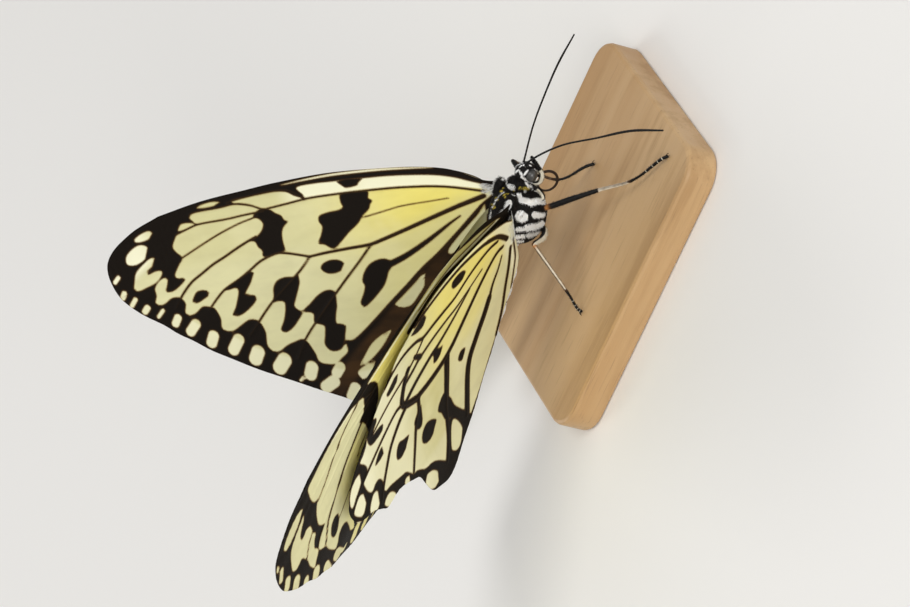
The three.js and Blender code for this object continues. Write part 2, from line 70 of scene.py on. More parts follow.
# Where the skin's rings lie: from, to, how many, and the end towards which they crowd.
SKIN_STATIONS = [(SKIN_FRONT, -6.0, 60, "front"), (-6.0, -4.5, 26, ""), (-4.5, 4.0, 120, ""),
                 (4.0, 27.4, 200, ""), (27.4, 28.0, 14, "rear")]
SKIN_SIDES = 112
BALL_RINGS, BALL_SIDES = 40, 64

WING_LENGTH = 68.0
HELD = {
    "left": dict(raised=40.3, swept=43.3, rolled=28.9, root=(4.05, -1.93, 3.28),
                 span=-5.6, twist=5.9, chord=0.5, tip=4.1, curl=0.0),
    "right": dict(raised=40.8, swept=42.4, rolled=29.2, root=(3.75, -1.97, 3.34),
                  span=-8.2, twist=6.3, chord=0.3, tip=3.3, curl=0.24),
}
CURL_START, HIND_START, EASE = 15.0, 3.0, 3.0  # how far behind the a axis curl and slope begin
HIND_SHEET, HIND_SLOPE = 1.5, 0.12  # how far the hindwing lies under the forewing, and its fall to the rear
ROOT_SINK, ROOT_SUNK, ROOT_EASE = 0.9, 0.6, 0.4  # how steeply, from where and how softly its root rises
MEMBRANE = 0.16  # thickness between the veins
RIM, RIM_STEPS = 0.07, 3  # thickness at the very margin, and the points over which it grows from there
RIDGE_HEIGHT, RIDGE_WIDTH = 0.15, 0.26  # of the veins
RIDGE_STEPS, RIDGE_FADE = 5, 0.45  # how they flatten beside the margin and towards it
PLEAT_DEPTH, RIPPLE_DEPTH, RIPPLE_RATE = 0.06, 0.03, 5.5
FORE_GRID, HIND_GRID = (212, 0.37), (190, 0.36)  # rows, and the columns' spacing at the margin
CELL_SHARE = 0.52  # of the rows, as far as the end of the discal cell
COLUMN_RANGE, TRACK_CROWD = (7, 40), 0.09  # columns between two tracks, and how they crowd beside them
FORE_SCALLOP, HIND_SCALLOP = 0.1, 0.12  # how far the margin stands out between two tracks
MARGIN_ROWS, MARGIN_POWER = 20, 14  # the rows that give its outward way, and how late its shape sets in

SIDES = {"left": 1.0, "right": -1.0}
UPWARDS = np.array([0.0, 0.0, 1.0])
END_RINGS = np.array([0.96, 0.72, 0.3])  # a tube's rounded end: the size of each ring

# Steps of the smooth curves from one given point to the next.
LOOP_STEPS, VEIN_STEPS, TRACK_STEPS, LIMB_STEPS, CLAW_STEPS = 5, 6, 24, 40, 8

MARK_REACH = 1.5  # how far from its outline a loop's depth is worked out
OUTSIDE = -2.0  # the depth of what lies far outside every mark

# A hair: seven points, their faces and the small spread of their map.
HAIR_FACES = np.array([[0, 2, 1], [0, 1, 4], [0, 4, 3], [1, 2, 5], [1, 5, 4], [2, 0, 3], [2, 3, 5],
                       [3, 4, 6], [4, 5, 6], [5, 3, 6]])
HAIR_MAP = 0.0014 * np.array([[-1, -1], [1, -1], [0, -0.5], [-0.8, 0.5], [0.8, 0.5], [0, 0.7], [0, 1]])
HAIR_SINK = 0.05
WIDEST = 4.3  # more than the body's mean half width anywhere
SMALL_STEP = 0.02

# Tracks from the root to the margin, in order from the front edge to the rear edge, and the point of each
# that lies level with the end of the discal cell.
FORE_TRACKS = [
    (7, [(-2.4, 1.0), (0.5, 1.6), (5.3, 4.2), (10.5, 5.6), (16.6, 6.5), (25.6, 7.4), (34.6, 7.5), (40, 7.3),
         (48.5, 6.9), (56.5, 5.9)]),
    (5, [(-2.4, 0.65), (0.7, 1.0), (5.8, 3.3), (12, 4.8), (24, 5.7), (37, 6.0), (50, 5.6), (62.6, 3.9)]),
    (5, [(-2.4, 0.3), (1.8, 0.3), (10.2, 2.4), (20.3, 3.4), (29.9, 4.0), (38.2, 3.7), (46, 4.0), (53.8, 3.0),
         (61, 1.6), (67.7, 0.4)]),
    (5, [(-2.4, 0.05), (1.8, 0), (10.2, 1.6), (20.3, 2.4), (29.9, 3.0), (38.6, 2.9), (46, 3.1), (53, 2.2),
         (60.5, -0.3), (68.4, -3.9)]),
    (5, [(-2.4, -0.2), (1.8, -0.3), (10.2, 0.7), (20.3, 1.1), (29.9, 1.6), (39.3, 2.0), (47, 1.3),
         (54.5, -0.8), (61, -4.2), (66.6, -7.6)]),
    (5, [(-2.4, -0.45), (1.8, -0.6), (10.2, -0.5), (20.3, -0.9), (30.5, -1.3), (41.0, -0.6), (48.5, -3.0),
         (56.9, -6.8), (61.8, -11.6)]),
    (7, [(-2.4, -0.7), (1.5, -0.9), (9.4, -1.8), (15.3, -3.1), (22.5, -4.6), (32.9, -4.6), (38, -3.5),
         (41.1, -3.6), (51, -8.8), (57.6, -14.7)]),
    (6, [(-2.4, -0.95), (1.5, -1.2), (9.4, -2.5), (15.3, -4.0), (22.5, -5.7), (31.5, -5.8), (36.3, -7.5),
         (45.1, -13.3), (52.6, -18.3)]),
    (5, [(-2.4, -1.2), (1.5, -1.5), (9.2, -3.4), (15.0, -5.3), (22.0, -7.0), (30.8, -11.9), (37, -17.5),
         (43.5, -23.6)]),
    (3, [(-2.4, -1.45), (2.0, -2.2), (12.9, -8.4), (22.3, -14.2), (28.2, -19.3), (35.2, -27.9)]),
    (3, [(-2.4, -1.7), (1.7, -3.0), (9, -8.4), (17, -14.8), (25, -22.4), (32.2, -29.3)]),
]
HIND_TRACKS = [
    (6, [(-2.4, -2.2), (0.4, 0.3), (2.5, 2.1), (6.0, 3.8), (10.5, 5.1), (15.5, 5.9), (19.5, 6.3), (23, 6.7),
         (27, 6.9)]),
    (6, [(-2.4, -2.5), (1.5, 0), (6.2, 2.7), (10, 4.0), (15.5, 4.8), (19.6, 5.2), (23.8, 5.7), (28.6, 6.1),
         (32.4, 5.9)]),
    (6, [(-2.4, -2.8), (2.0, -0.9), (5.6, 1.1), (10.1, 2.0), (17.1, 2.3), (22.3, 2.2), (26.3, 2.8), (30, 4.1),
         (34, 4.6), (37.8, 3.3)]),
    (6, [(-2.4, -3.05), (2.0, -1.3), (5.8, 0.3), (10.3, 0.9), (17.2, 1.0), (22.4, 0.9), (27.2, 1.2),
         (32.8, 0.6), (40.6, -0.3), (49.2, -3.2)]),
    (6, [(-2.4, -3.3), (2.2, -1.8), (6.2, -0.6), (10.5, -0.4), (17.3, -1.1), (24, -1.9), (31.6, -2.9),
         (38.4, -4.1), (46.5, -5.8), (51.6, -8.0)]),
    (7, [(-2.4, -3.6), (2.0, -2.2), (6.4, -2.0), (9.5, -2.9), (12.2, -3.9), (20, -6.4), (27, -6.4),
         (33.9, -5.2), (39.1, -7.8), (45.4, -13.9)]),
    (6, [(-2.4, -3.9), (2.0, -2.7), (6.4, -2.6), (9.6, -3.7), (12.2, -4.9), (20, -7.5), (29.8, -7.4),
         (33.8, -12.1), (36.5, -16.6), (39.6, -20.6)]),
    (6, [(-2.4, -4.15), (2.0, -3.2), (6.2, -3.4), (9.4, -4.6), (12, -5.8), (17, -7.8), (22, -9.0),
         (24.4, -14.1), (26.7, -21.2), (30, -26.4)]),
    (5, [(-2.4, -4.4), (1.5, -3.9), (4.5, -4.5), (7.3, -6.0), (11.9, -10.0), (17.5, -14.9), (21, -20.7),
         (23.2, -24.4)]),
    (5, [(-2.4, -4.65), (0.6, -4.6), (2.6, -5.7), (4.8, -8.2), (7.4, -11.5), (10.2, -15.0), (14.7, -19.1)]),
    (4, [(-2.4, -4.9), (-1.0, -6.4), (0.5, -8.4), (3.2, -10.7), (6.1, -12.8), (9.0, -15.0)]),
]
WORN_TRACK, WORN_END = 6, (37.2, -17.4)  # the right hindwing's margin has a nick here
# The right hindwing's front edge shows a little more under the forewing.
SHOWN_FRONT = [(-2.4, -2.2), (0.4, 0.3), (2.5, 2.1), (6.0, 3.8), (10.5, 5.2), (15.5, 6.4), (19.5, 6.95),
               (23, 7.15), (27, 7.0)]

# Where the right hindwing's and the forewings' margins move in: the place in tracks, the half width, how far.
WORN_BITES = [(2.62, 0.2, 1.3), (4.3, 0.22, -0.5), (4.75, 0.18, 0.5), (5.25, 0.14, -0.6), (5.6, 0.2, 0.4),
              (6.22, 0.12, 0.5), (6.6, 0.2, -0.9)]
FULL_MARGIN = [(5.4, 0.4, -0.2), (6.3, 0.7, -0.4), (7.4, 0.7, -0.3)]

# ---- Limbs: points from the body outwards, as right, forward and up towards the back -----------------------

LEGS = {
    "mid_right": dict(hip=(2.0, 2.5, -3.6), knee=(6.0, 7.7, -9.2), ankle=(9.4, 11.3, -12.6),
                      toe=(13.1, 17.3)),
    "mid_left": dict(hip=(-2.0, 2.5, -3.6), knee=(-7.6, 5.0, -0.9), ankle=(-6.5, 2.7, -8.0),
                     toe=(-5.5, 6.0)),
    "hind_right": dict(hip=(2.0, -1.0, -3.8), knee=(7.4, -0.9, -0.4), ankle=(9.2, -7.7, -6.6),
                       toe=(9.9, -10.5)),
    "hind_left": dict(hip=(-2.0, -1.0, -3.8), knee=(-7.6, -1.0, -0.4), ankle=(-11.6, -7.6, -6.4),
                      toe=(-13.2, -10.6)),
}
ANTENNAE = {
    "right": [(0.55, 7.6, 0.5), (0.8, 9.3, 0.4), (4.9, 14.2, -2.1), (9.4, 18.0, -5.4), (13.6, 21.5, -8.5),
              (17.4, 23.7, -11.6)],
    "left": [(-0.55, 7.6, 0.5), (-0.8, 9.3, 0.4), (-4.0, 12.6, -1.2), (-7.4, 15.4, -3.3), (-11.6, 19.2, -6.3),
             (-15.5, 22.4, -9.6)],
}
ANTENNA_RADII = dict(right=[0.17, 0.155, 0.15, 0.15, 0.15, 0.2, 0.2, 0.14],
                     left=[0.15, 0.14, 0.14, 0.15, 0.17, 0.12])
ANTENNA_RINGS = 46
PALP = [(0.75, 5.8, -1.15), (0.97, 6.1, -1.95), (1.0, 6.8, -2.15), (1.0, 7.55, -2.05), (0.95, 8.2, -1.55),
        (0.9, 8.8, -1.0), (0.85, 9.3, -0.65)]
PALP_RADII = [0.26, 0.33, 0.34, 0.33, 0.29, 0.27, 0.24, 0.14]
FORELEG = [(1.3, 2.8, -1.9), (1.45, 3.75, -2.85), (1.4, 4.4, -2.6), (1.4, 5.1, -1.9), (1.35, 5.4, -1.2)]
FORELEG_RADII = [0.34, 0.34, 0.3, 0.26, 0.2]
PROBOSCIS = dict(root=(0, 7.0, -0.9), middle=(-5.75, -3.6), coil=1.75, turns=0.8)
PROBOSCIS_RADII = [0.21, 0.21, 0.19, 0.13]
THIGH_SAG = 0.8
# Rings along each limb.
THIGH_STEPS, SHIN_STEPS, PALP_STEPS, FORELEG_STEPS, ANTENNA_STEPS, PROBOSCIS_STEPS = 90, 220, 70, 60, 520, 420
CLAW_SIDES = 8

# ---- Markings of the wings, in the plan's millimetres ------------------------------------------------------

# A vein: half its width near the root and at its end, then its course.
FORE_VEINS = {
    "radius": (0.16, 0.13, [(0.9, 0.0), (4.5, 1.15), (7, 1.85), (10, 2.45), (15, 3.15), (20, 3.6), (25, 3.95),
                            (30, 4.15), (34, 3.95), (38.2, 3.75)]),
    "radius_1": (0.14, 0.12, [(30.8, 4.1), (31.4, 4.8), (32.3, 5.6), (33.8, 6.2), (38, 6.3), (42, 6.15),
                              (44, 5.9)]),
    "radius_2": (0.14, 0.14, [(38.3, 3.8), (40.4, 4.9), (42.8, 5.5), (45.5, 5.42), (49.5, 5.5), (51, 5.3)]),
    "radius_4": (0.13, 0.12, [(38.2, 3.5), (41.6, 3.5), (45, 3.4), (50, 3.45), (52, 3.1), (54.5, 2.5)]),
    "media_1": (0.1, 0.11, [(39.4, 3.0), (40.6, 2.75), (42.8, 2.4), (45.1, 1.86), (47.5, 1.2), (50, 0.38),
                            (52.3, -0.4), (55, -1.35)]),
    "media_2": (0.16, 0.17, [(41, -0.2), (42.8, -0.72), (45.1, -1.5), (47.5, -2.4), (50, -3.26), (52.3, -4.3),
                             (54.7, -5.4), (57, -7.1), (59, -9)]),
    "media_3": (0.17, 0.15, [(33.1, -4.85), (35, -4.2), (37, -3.6), (38.6, -3.4), (41.6, -4.1), (43.9, -5.2),
                             (46.3, -6.3), (49.4, -7.5), (51.3, -8.7), (53.4, -10.3)]),
    "cubitus": (0.36, 0.17, [(1.2, -0.7), (3, -1.0), (6, -1.5), (10, -2.3), (15, -3.35), (20, -4.35),
                             (22.3, -4.72), (26, -4.7), (30, -4.72), (33.1, -4.85)]),
    "cubitus_1": (0.17, 0.16, [(33.1, -4.85), (34.5, -6.0), (36.2, -7.2), (39, -8.9), (41.7, -10.6),
                               (43.9, -12.2), (45.6, -13.6), (48, -15.5)]),
    "cubitus_2": (0.17, 0.16, [(22.3, -4.9), (25, -7.0), (28, -9.2), (30.8, -11.3), (33.5, -13.4),
                               (35.8, -15.2), (38.6, -17.6), (41, -20.4)]),
    "anal": (0.28, 0.26, [(2.2, -2.2), (4, -3.5), (6.3, -4.9), (11.3, -8.0), (15, -10.0), (19.4, -12.8),
                          (23.2, -15.1), (26.6, -17.2), (29.6, -19.0)]),
    "cell_fold": (0.05, 0.08, [(7.0, 0), (10, 0.08), (15, 0.2), (18, -0.05), (21.8, -0.4)]),
    "anal_streak": (0.1, 0.5, [(6.0, -3.0), (8, -3.8), (10, -4.7), (13, -6.0), (17, -7.5), (20.4, -8.4)]),
}
HIND_VEINS = {
    "costal_root": (0.42, 0.4, [(2.6, -1.7), (3.3, -0.6), (4.0, 0.4), (4.8, 1.3), (6.0, 2.2), (7.5, 3.1)]),
    "costal_edge": (0.36, 0.26, [(6.0, 2.2), (8.5, 3.55), (12.4, 4.95), (15.5, 5.8), (20, 6.5), (24.7, 6.9),
                                 (27.5, 6.95)]),
    "front_edge": (0.42, 0.08, [(0.6, 0.9), (2.5, 2.4), (6.0, 4.05), (8.5, 4.9), (11, 5.7)]),
    "radial": (0.28, 0.34, [(5, 0.4), (7, 1.1), (10, 1.45), (13, 1.45), (17, 1.15), (20, 1.6), (23, 2.1),
                            (26, 2.55), (27.6, 3.6), (30, 4.5), (32.5, 4.85), (35, 4.6), (37.5, 3.9)]),
    "fold_1": (0.16, 0.36, [(9.6, -0.95), (14, -1.2), (17, -1.2), (20, -0.8), (24, -0.4), (28, -0.35),
                            (30, -0.7), (32.5, -0.9)]),
    "fold_2": (0.24, 0.42, [(13.2, -1.3), (17, -2.2), (20, -2.7), (23, -3.0), (25, -3.0), (30, -3.5),
                            (33, -4.1)]),
    "media_1": (0.26, 0.2, [(26.1, 2.4), (28, 1.5), (30, 0.9), (32, 0.6), (36, 0.4), (39.5, -0.1),
                            (42, -0.6)]),
    "cell_end": (0.6, 0.64, [(30.9, 0.8), (31.6, 0.3), (32.6, -0.9), (33.7, -2.6), (33.9, -3.7), (33, -4.8),
                             (31.2, -5.9), (30.2, -6.5)]),
    "cell_link": (0.42, 0.5, [(28.8, 1.3), (28.1, 0.5), (27.4, -0.3)]),
    "media_2": (0.32, 0.26, [(34.2, -3.5), (36, -3.15), (40, -3.9), (44, -4.95), (48, -6.05), (51.4, -7.7)]),
    "media_3": (0.44, 0.3, [(33.5, -4.9), (36, -5.7), (39, -7.2), (41, -9.0), (43, -11.0), (44.6, -13.0)]),
    "cubitus": (0.3, 0.54, [(3.9, -2.1), (5.0, -1.8), (6.5, -1.95), (10, -3.1), (14, -4.6), (18, -6.0),
                            (20, -6.6), (23, -7.0), (27, -6.8), (30.6, -6.2)]),
    "cubitus_1": (0.48, 0.3, [(30.3, -6.6), (30.9, -8.5), (32.5, -10.2), (34, -12.8), (36.2, -16.6)]),
    "cubitus_2": (0.78, 0.56, [(21.8, -7.2), (22.9, -10), (24.2, -13), (25.3, -16), (26.5, -20),
                               (28.4, -23.6)]),
    "anal_1": (0.18, 0.46, [(4.6, -3.5), (6, -5.0), (8, -6.4), (9.5, -8.0), (11, -9.2)]),
    "anal_2": (0.66, 0.76, [(9.4, -7.9), (11.4, -9.4), (14.4, -11.2), (17, -12.9), (18.5, -15), (20, -18.5),
                            (21.2, -21.4)]),
    "anal_3": (0.36, 0.34, [(2.2, -4.2), (3.5, -7), (5.5, -10), (7.5, -13), (10.0, -15.6)]),
    "anal_4": (0.2, 0.2, [(1.2, -3.2), (1.6, -6.6), (2.5, -8.5), (4.2, -11.2)]),
    "inner_edge": (0.12, 0.34, [(9.6, -15.4), (12, -17.2), (16, -20.0), (20, -22.3), (23.2, -24.4)]),
}

FLAT_LINES = ("streak", "fold", "edge", "link")  # drawn lines whose names say that they are no ridges

# A mark is a smooth loop through its points. All is dark but the pale fields; blotches are dark in them,
# and spots are pale in the dark.
FORE_FIELDS = [
    # the pale field from the radius back to the anal vein
    [(-0.7, -0.5), (-0.2, 0.1), (2.0, 0.35), (4.5, 1.1), (10, 2.4), (20, 3.6), (30, 4.15), (38.4, 3.75),
     (40.3, 3.45), (45, 3.4), (50, 3.45), (54, 2.6), (54.9, 1.9), (55.8, 0.7), (55.6, -0.1), (54.9, -1.0),
     (54.9, -1.5), (55.6, -2.1), (56.6, -3.1), (57.2, -3.9), (56.9, -4.4), (55.9, -4.5), (55.8, -4.9),
     (57.5, -5.9), (58.7, -6.3), (59.7, -6.1), (59.1, -5.1), (58.7, -4.2), (59.2, -3.9), (60.3, -4.3),
     (61.4, -5.3), (61.6, -6.5), (62.2, -7.6), (61.6, -8.1), (60.6, -8.0), (59.2, -7.35), (58, -7.35),
     (57.5, -7.6), (57.1, -8.6), (57.7, -10.0), (57.2, -10.6), (55.9, -10.4), (54.4, -9.6), (53.2, -9.8),
     (52.4, -10.2), (52.0, -12), (52.4, -13.5), (51.8, -14.1), (50.6, -14.3), (48.8, -13.6), (47.2, -13.0),
     (46.0, -13.2), (45.4, -13.8), (45.1, -15.5), (45.6, -17.5), (45.0, -18.6), (43.8, -18.8),
     (42.2, -18.1), (40.5, -17.7), (39.2, -17.5), (38.5, -18.0), (37.8, -20), (37.6, -21.5), (36.4, -22.1),
     (34.8, -22.3), (33.6, -21.6), (32.2, -20.8), (31.9, -20.0), (31.9, -18.9), (30.6, -19.0),
     (28.5, -18.0), (25.5, -16.2), (22, -14.0), (18, -11.6), (14.7, -9.7), (10, -7.0), (5, -3.7), (2, -1.8),
     (0.3, -1.0)],
    [(-0.6, 0.3), (0.6, 0.95), (3, 2.0), (5, 2.9), (7.5, 3.7), (10, 4.25), (15, 5.05), (20, 5.55),
     (25, 5.95), (28, 6.2), (31.0, 6.25), (31.5, 5.9), (30.8, 4.9), (30.4, 4.3), (25, 4.0), (20, 3.65),
     (15, 3.2), (10, 2.5), (5, 1.3), (2, 0.35), (0.5, 0.1)],
    [(31.0, 4.25), (32.3, 4.95), (33.5, 5.8), (36, 6.2), (40, 6.15), (42.9, 6.05), (42.7, 5.6), (40.3, 5.0),
     (38.3, 4.0), (36, 3.9), (33, 4.1)],
    [(38.7, 3.95), (40.5, 4.75), (43, 5.4), (45.5, 5.3), (49.5, 5.35), (50.6, 5.2), (51.2, 4.7), (50.9, 4.2),
     (50.2, 3.6), (45, 3.5), (41.6, 3.6), (39, 3.6)],
    [(50.7, 3.5), (51.3, 3.9), (52.9, 4.0), (53.6, 3.5), (53.8, 3.0), (52.5, 3.1), (51.2, 3.3)],
]
FORE_BLOTCHES = [
    [(19.7, 3.4), (21, 3.7), (24.4, 3.85), (24.9, 2.6), (24.8, 1.8), (25.6, 1.45), (27.5, 1.4), (29.2, 1.1),
     (29.6, 0.2), (29.3, -0.6), (30.0, -1.9), (30.9, -3.1), (30.0, -3.4), (28.9, -4.25), (28.2, -4.2),
     (27.0, -3.5), (25.2, -2.3), (23.2, -1.2), (21.9, -0.1), (20.6, 0.7), (20.1, 1.4), (19.6, 1.9),
     (20.2, 2.5)],
    [(37.2, 3.65), (38.6, 3.95), (39.9, 3.4), (40.3, 2.9), (39.5, 2.4), (39.1, 1.6), (39.6, 0.7),
     (40.7, -0.1), (42.3, -0.65), (41.5, -1.0), (41.3, -1.9), (40.8, -2.6), (41.0, -3.4), (40.3, -3.7),
     (38.8, -3.5), (37.0, -3.2), (36.8, -2.0), (36.5, -0.6), (35.9, 0.4), (34.8, 1.2), (35.3, 1.5),
     (35.6, 2.3), (36.5, 2.9)],
    [(20.1, 5.6), (20.9, 5.0), (21.3, 4.65), (23.2, 4.6), (23.8, 5.1), (24.3, 5.8), (22, 6.0)],
    [(27.75, -6.9), (28.5, -6.2), (30.0, -6.0), (31.4, -6.4), (31.9, -7.1), (31.2, -7.9), (29.8, -8.15),
     (28.4, -7.8)],
    [(19.8, -8.0), (20.4, -7.4), (21.7, -7.25), (23.4, -7.7), (24.8, -8.8), (25.6, -10.1), (25.5, -11.0),
     (26.2, -12.2), (27.1, -13.4), (26.8, -14.2), (25.4, -13.6), (23.8, -12.6), (22.2, -11.4), (21.3, -10.3),
     (20.7, -9.4), (20, -8.8)],
    [(43.6, -5.8), (44.3, -5.45), (46.3, -6.15), (48.3, -6.9), (49.9, -7.6), (48.8, -7.7), (47.6, -7.6),
     (47.2, -8.0), (47.8, -9.2), (48.7, -10.6), (49.7, -11.8), (49.0, -12.1), (47.9, -11.9), (46.2, -11.1),
     (44.9, -10.2), (44.6, -9.5), (45.3, -9.15), (46.2, -9.1), (46.1, -8.6), (45.4, -7.9), (44.4, -6.9)],
    [(36.1, -7.4), (37.2, -7.5), (38.6, -7.35), (40.1, -7.7), (41.1, -8.7), (41.6, -10.1), (42.1, -10.9),
     (41.0, -10.9), (40.1, -11.2), (40.3, -12.3), (41.2, -14.0), (42.3, -15.5), (41.6, -16.0), (40.2, -15.5),
     (38.7, -14.4), (37.6, -13.3), (38.2, -12.8), (38.6, -12.1), (38.0, -11.1), (36.9, -9.5), (36.2, -8.3)],
    [(30.8, -11.3), (31.4, -10.65), (32.6, -10.6), (34.2, -11.2), (35.8, -12.2), (37.5, -13.2), (36.4, -13.5),
     (35.8, -13.9), (36.1, -15.2), (35.2, -15.7), (34.6, -16.1), (35.0, -17.4), (35.6, -18.9), (35.1, -20.0),
     (34.2, -20.3), (33.1, -20.1), (32.2, -19.3), (31.6, -18.0), (31.0, -16.6), (31.6, -16.2), (32.4, -15.9),
     (32.0, -14.6), (31.2, -13.0)],
    [(52.4, -7.5), (52.9, -7.1), (54.2, -7.0), (55.1, -7.6), (55.8, -8.6), (55.0, -8.85), (53.6, -8.4),
     (52.7, -8.0)],
]
FORE_SPOTS = [
    [(58.4, 3.5), (58.9, 3.95), (60.3, 3.75), (61.8, 3.1), (61.8, 2.6), (60.8, 2.45), (59.1, 2.75)],
    [(60.1, 1.4), (61.0, 2.0), (62.4, 1.8), (64.1, 0.8), (64.7, -0.4), (64.0, -0.95), (62.6, -0.9),
     (60.9, -0.1)],
    [(59.6, -0.5), (60.3, -0.4), (61.7, -1.0), (63.6, -2.2), (64.4, -3.5), (65.0, -4.8), (64.3, -5.2),
     (62.7, -4.9), (60.8, -4.4), (59.4, -3.4), (59.2, -2.7), (60.3, -2.6), (61.7, -2.9), (61.6, -2.3),
     (60.3, -1.6)],
    [(45.2, 6.2), (46.5, 6.5), (48.5, 6.35), (49.3, 6.0), (48, 5.8), (46, 5.85)],
    [(14.6, -10.4), (17, -11.9), (20, -13.7), (21.4, -14.6), (20.5, -15.3), (18.8, -15.2), (17, -13.9),
     (15.2, -12.2)],
    [(1.5, -2.0), (3, -3.2), (5, -4.5), (7.5, -6.1), (9.7, -7.8), (9.6, -8.5), (7.5, -7.9), (5, -6.5),
     (3, -5.1), (1.6, -3.6)],
    [(23.4, -18.5), (25, -18.8), (27.5, -20.0), (29.5, -21.8), (30.8, -23.2), (29.3, -22.9), (27, -21.6),
     (24.7, -19.8)],
    [(28.0, -22.9), (30, -23.3), (31.6, -24.2), (31.1, -25.5), (30.2, -25.2), (28.5, -23.9)],
]
# Pale spots along the margin: the ends of each spot's middle line, and its half width.
FORE_MARGIN_SPOTS = [
    (66.9, -2.4, 67.8, -3.1, 0.38), (66.9, -5.1, 67.5, -5.8, 0.48), (65.4, -6.4, 66.4, -7.3, 0.41),
    (63.9, -8.1, 64.6, -8.7, 0.55), (61.4, -9.0, 62.6, -9.9, 0.35), (59.3, -10.6, 60.1, -11.5, 0.67),
    (56.6, -12.1, 58.0, -13.2, 0.85), (54.3, -14.5, 55.1, -15.6, 0.93), (50.2, -15.8, 51.7, -17.3, 0.99),
    (47.6, -18.3, 48.5, -19.4, 1.15), (43.5, -20.3, 44.8, -21.4, 1.23), (39.2, -22.2, 39.9, -23.3, 1.09),
    (36.2, -25.0, 37.9, -25.7, 1.05), (34.3, -22.9, 35.3, -23.8, 0.91), (32.9, -26.6, 34.0, -27.9, 0.98),
    (41.3, -23.6, 41.9, -24.0, 0.29),
]
# The same for the forewing's lower face, where the hindwing doesn't cover it.
FORE_UNDER_FIELDS = [
    [(1.5, 1.0), (5, 3.0), (7.5, 4.1), (10, 5.0), (13, 6.1), (16, 6.7), (20, 6.95), (24, 6.95), (27, 6.75),
     (31, 6.7), (35, 6.6), (38.8, 6.5), (38.2, 5.9), (37.1, 4.8), (36.6, 3.5), (36.7, 2), (37.2, 0.5),
     (38, -0.5), (38, -3), (20, -3), (8, -2.5), (3, -0.8)],
    [(43, 6.3), (46, 6.45), (49, 6.3), (52, 5.85), (55, 5.05), (57, 4.45), (57.1, 3.0), (56.9, 1.5),
     (56.3, 0.4), (55.4, 0.2), (55.9, -0.4), (56.3, -1.3), (56.7, -2.6), (56.8, -4.4), (56, -5.6),
     (55.5, -6.0), (57.0, -7.0), (58.0, -8.2), (57.9, -9.2), (57.0, -9.9), (56.4, -10.3), (56, -11.5),
     (55.4, -12.6), (54.3, -14.0), (53.5, -13.5), (52.7, -12.3), (51.5, -11.8), (50.5, -12.2), (50, -14),
     (49.5, -16), (47, -17), (44, -12), (41, -7), (40.9, -4), (41.0, -1.5), (41.6, 0.6), (42.4, 1.6),
     (41.4, 2.3), (40.7, 3.4), (40.4, 4.6), (40.8, 5.5)],
    [(59.3, 1.3), (60.5, 0.8), (62.5, -0.2), (63.8, -1.2), (64.6, -3), (64.9, -5), (64, -5.9), (63, -5.8),
     (62.2, -5.6), (61.5, -6.6), (61.1, -7.6), (60.9, -9.2), (60.0, -10.8), (59.2, -10), (58.4, -9.2),
     (58.3, -8.3), (58.9, -7.3), (58.5, -6), (57.9, -5), (58.4, -4.2), (58.4, -3.5), (58.6, -2.4),
     (59.6, -1.9), (61.0, -2.4), (61.3, -1.6), (60.5, -0.5), (59.5, 0.5)],
    [(59.2, 2.5), (60.3, 3.1), (62.5, 2.7), (64.2, 1.9), (65.3, 0.9), (65, 0.1), (63.5, 0.2), (61.5, 0.9),
     (60.2, 1.6)],
]
FORE_UNDER_BLOTCHES = [
    [(51.9, -8.3), (52.9, -7.8), (54.0, -8.4), (54.6, -10), (54, -11.3), (52.9, -11.0), (52, -9.5)],
    [(22.9, 2.6), (23.4, 3.2), (25, 3.0), (26.6, 2.5), (25.6, 1.6), (24, 1.4), (23, 1.9)],
]
FORE_UNDER_SPOTS = [
    (67.6, -0.6, 67.9, -1.1, 0.32), (67.0, -2.0, 67.7, -3.5, 0.55), (66.4, -5.3, 67.0, -6.4, 0.8),
    (64.5, -7.8, 65.2, -8.8, 0.92), (62.5, -10.5, 62.8, -11.5, 0.78), (59.8, -11.9, 60.2, -12.7, 0.98),
    (57.2, -14.3, 56.7, -16.3, 0.92), (54.1, -15.6, 52.6, -18.3, 1.12),
]
FORE_UNDER_VEINS = {
    "radius_band": (0.62, 0.42, [(-1, -0.2), (1, 0.3), (3, 0.8), (5, 1.25), (8, 1.95), (10, 2.45), (13, 3.35),
                                (15, 4.0), (17, 4.55), (20, 4.8), (23, 4.65), (25, 4.5), (27.2, 4.4)]),
    "subcosta": (0.1, 0.1, [(3, 1.9), (6, 2.8), (9, 3.6), (12, 4.5), (15, 5.15), (20, 5.55), (24, 5.5)]),
    "costal_edge": (0.2, 0.14, [(2, 2.3), (5, 4.0), (7.5, 4.9), (10, 5.6), (12.5, 6.35), (15, 6.95),
                                (20, 7.2), (26, 7.25), (34, 7.1), (42, 6.9), (50, 6.5), (55, 5.6)]),
    "radius_4": (0.13, 0.15, [(41.5, 5.9), (44, 5.3), (47, 4.3), (50, 2.8), (53, 0.95), (55.4, -0.2)]),
    "media_2": (0.24, 0.24, [(41.1, 1.4), (42.8, 0.8), (44.7, -0.1), (47.4, -1.4), (49.9, -3.0),
                             (52.4, -4.95), (54.4, -6.6), (55.6, -8.6), (56.5, -10.4)]),
    "fold": (0.12, 0.14, [(41.5, -2.0), (43.5, -2.9), (44.6, -3.7)]),
    "media_3": (0.1, 0.12, [(47.8, -7.2), (50.5, -8.7), (51.9, -9.2)]),
    "apex_vein": (0.12, 0.16, [(58.4, -3.9), (60.0, -5.2), (61.3, -7.2)]),
}
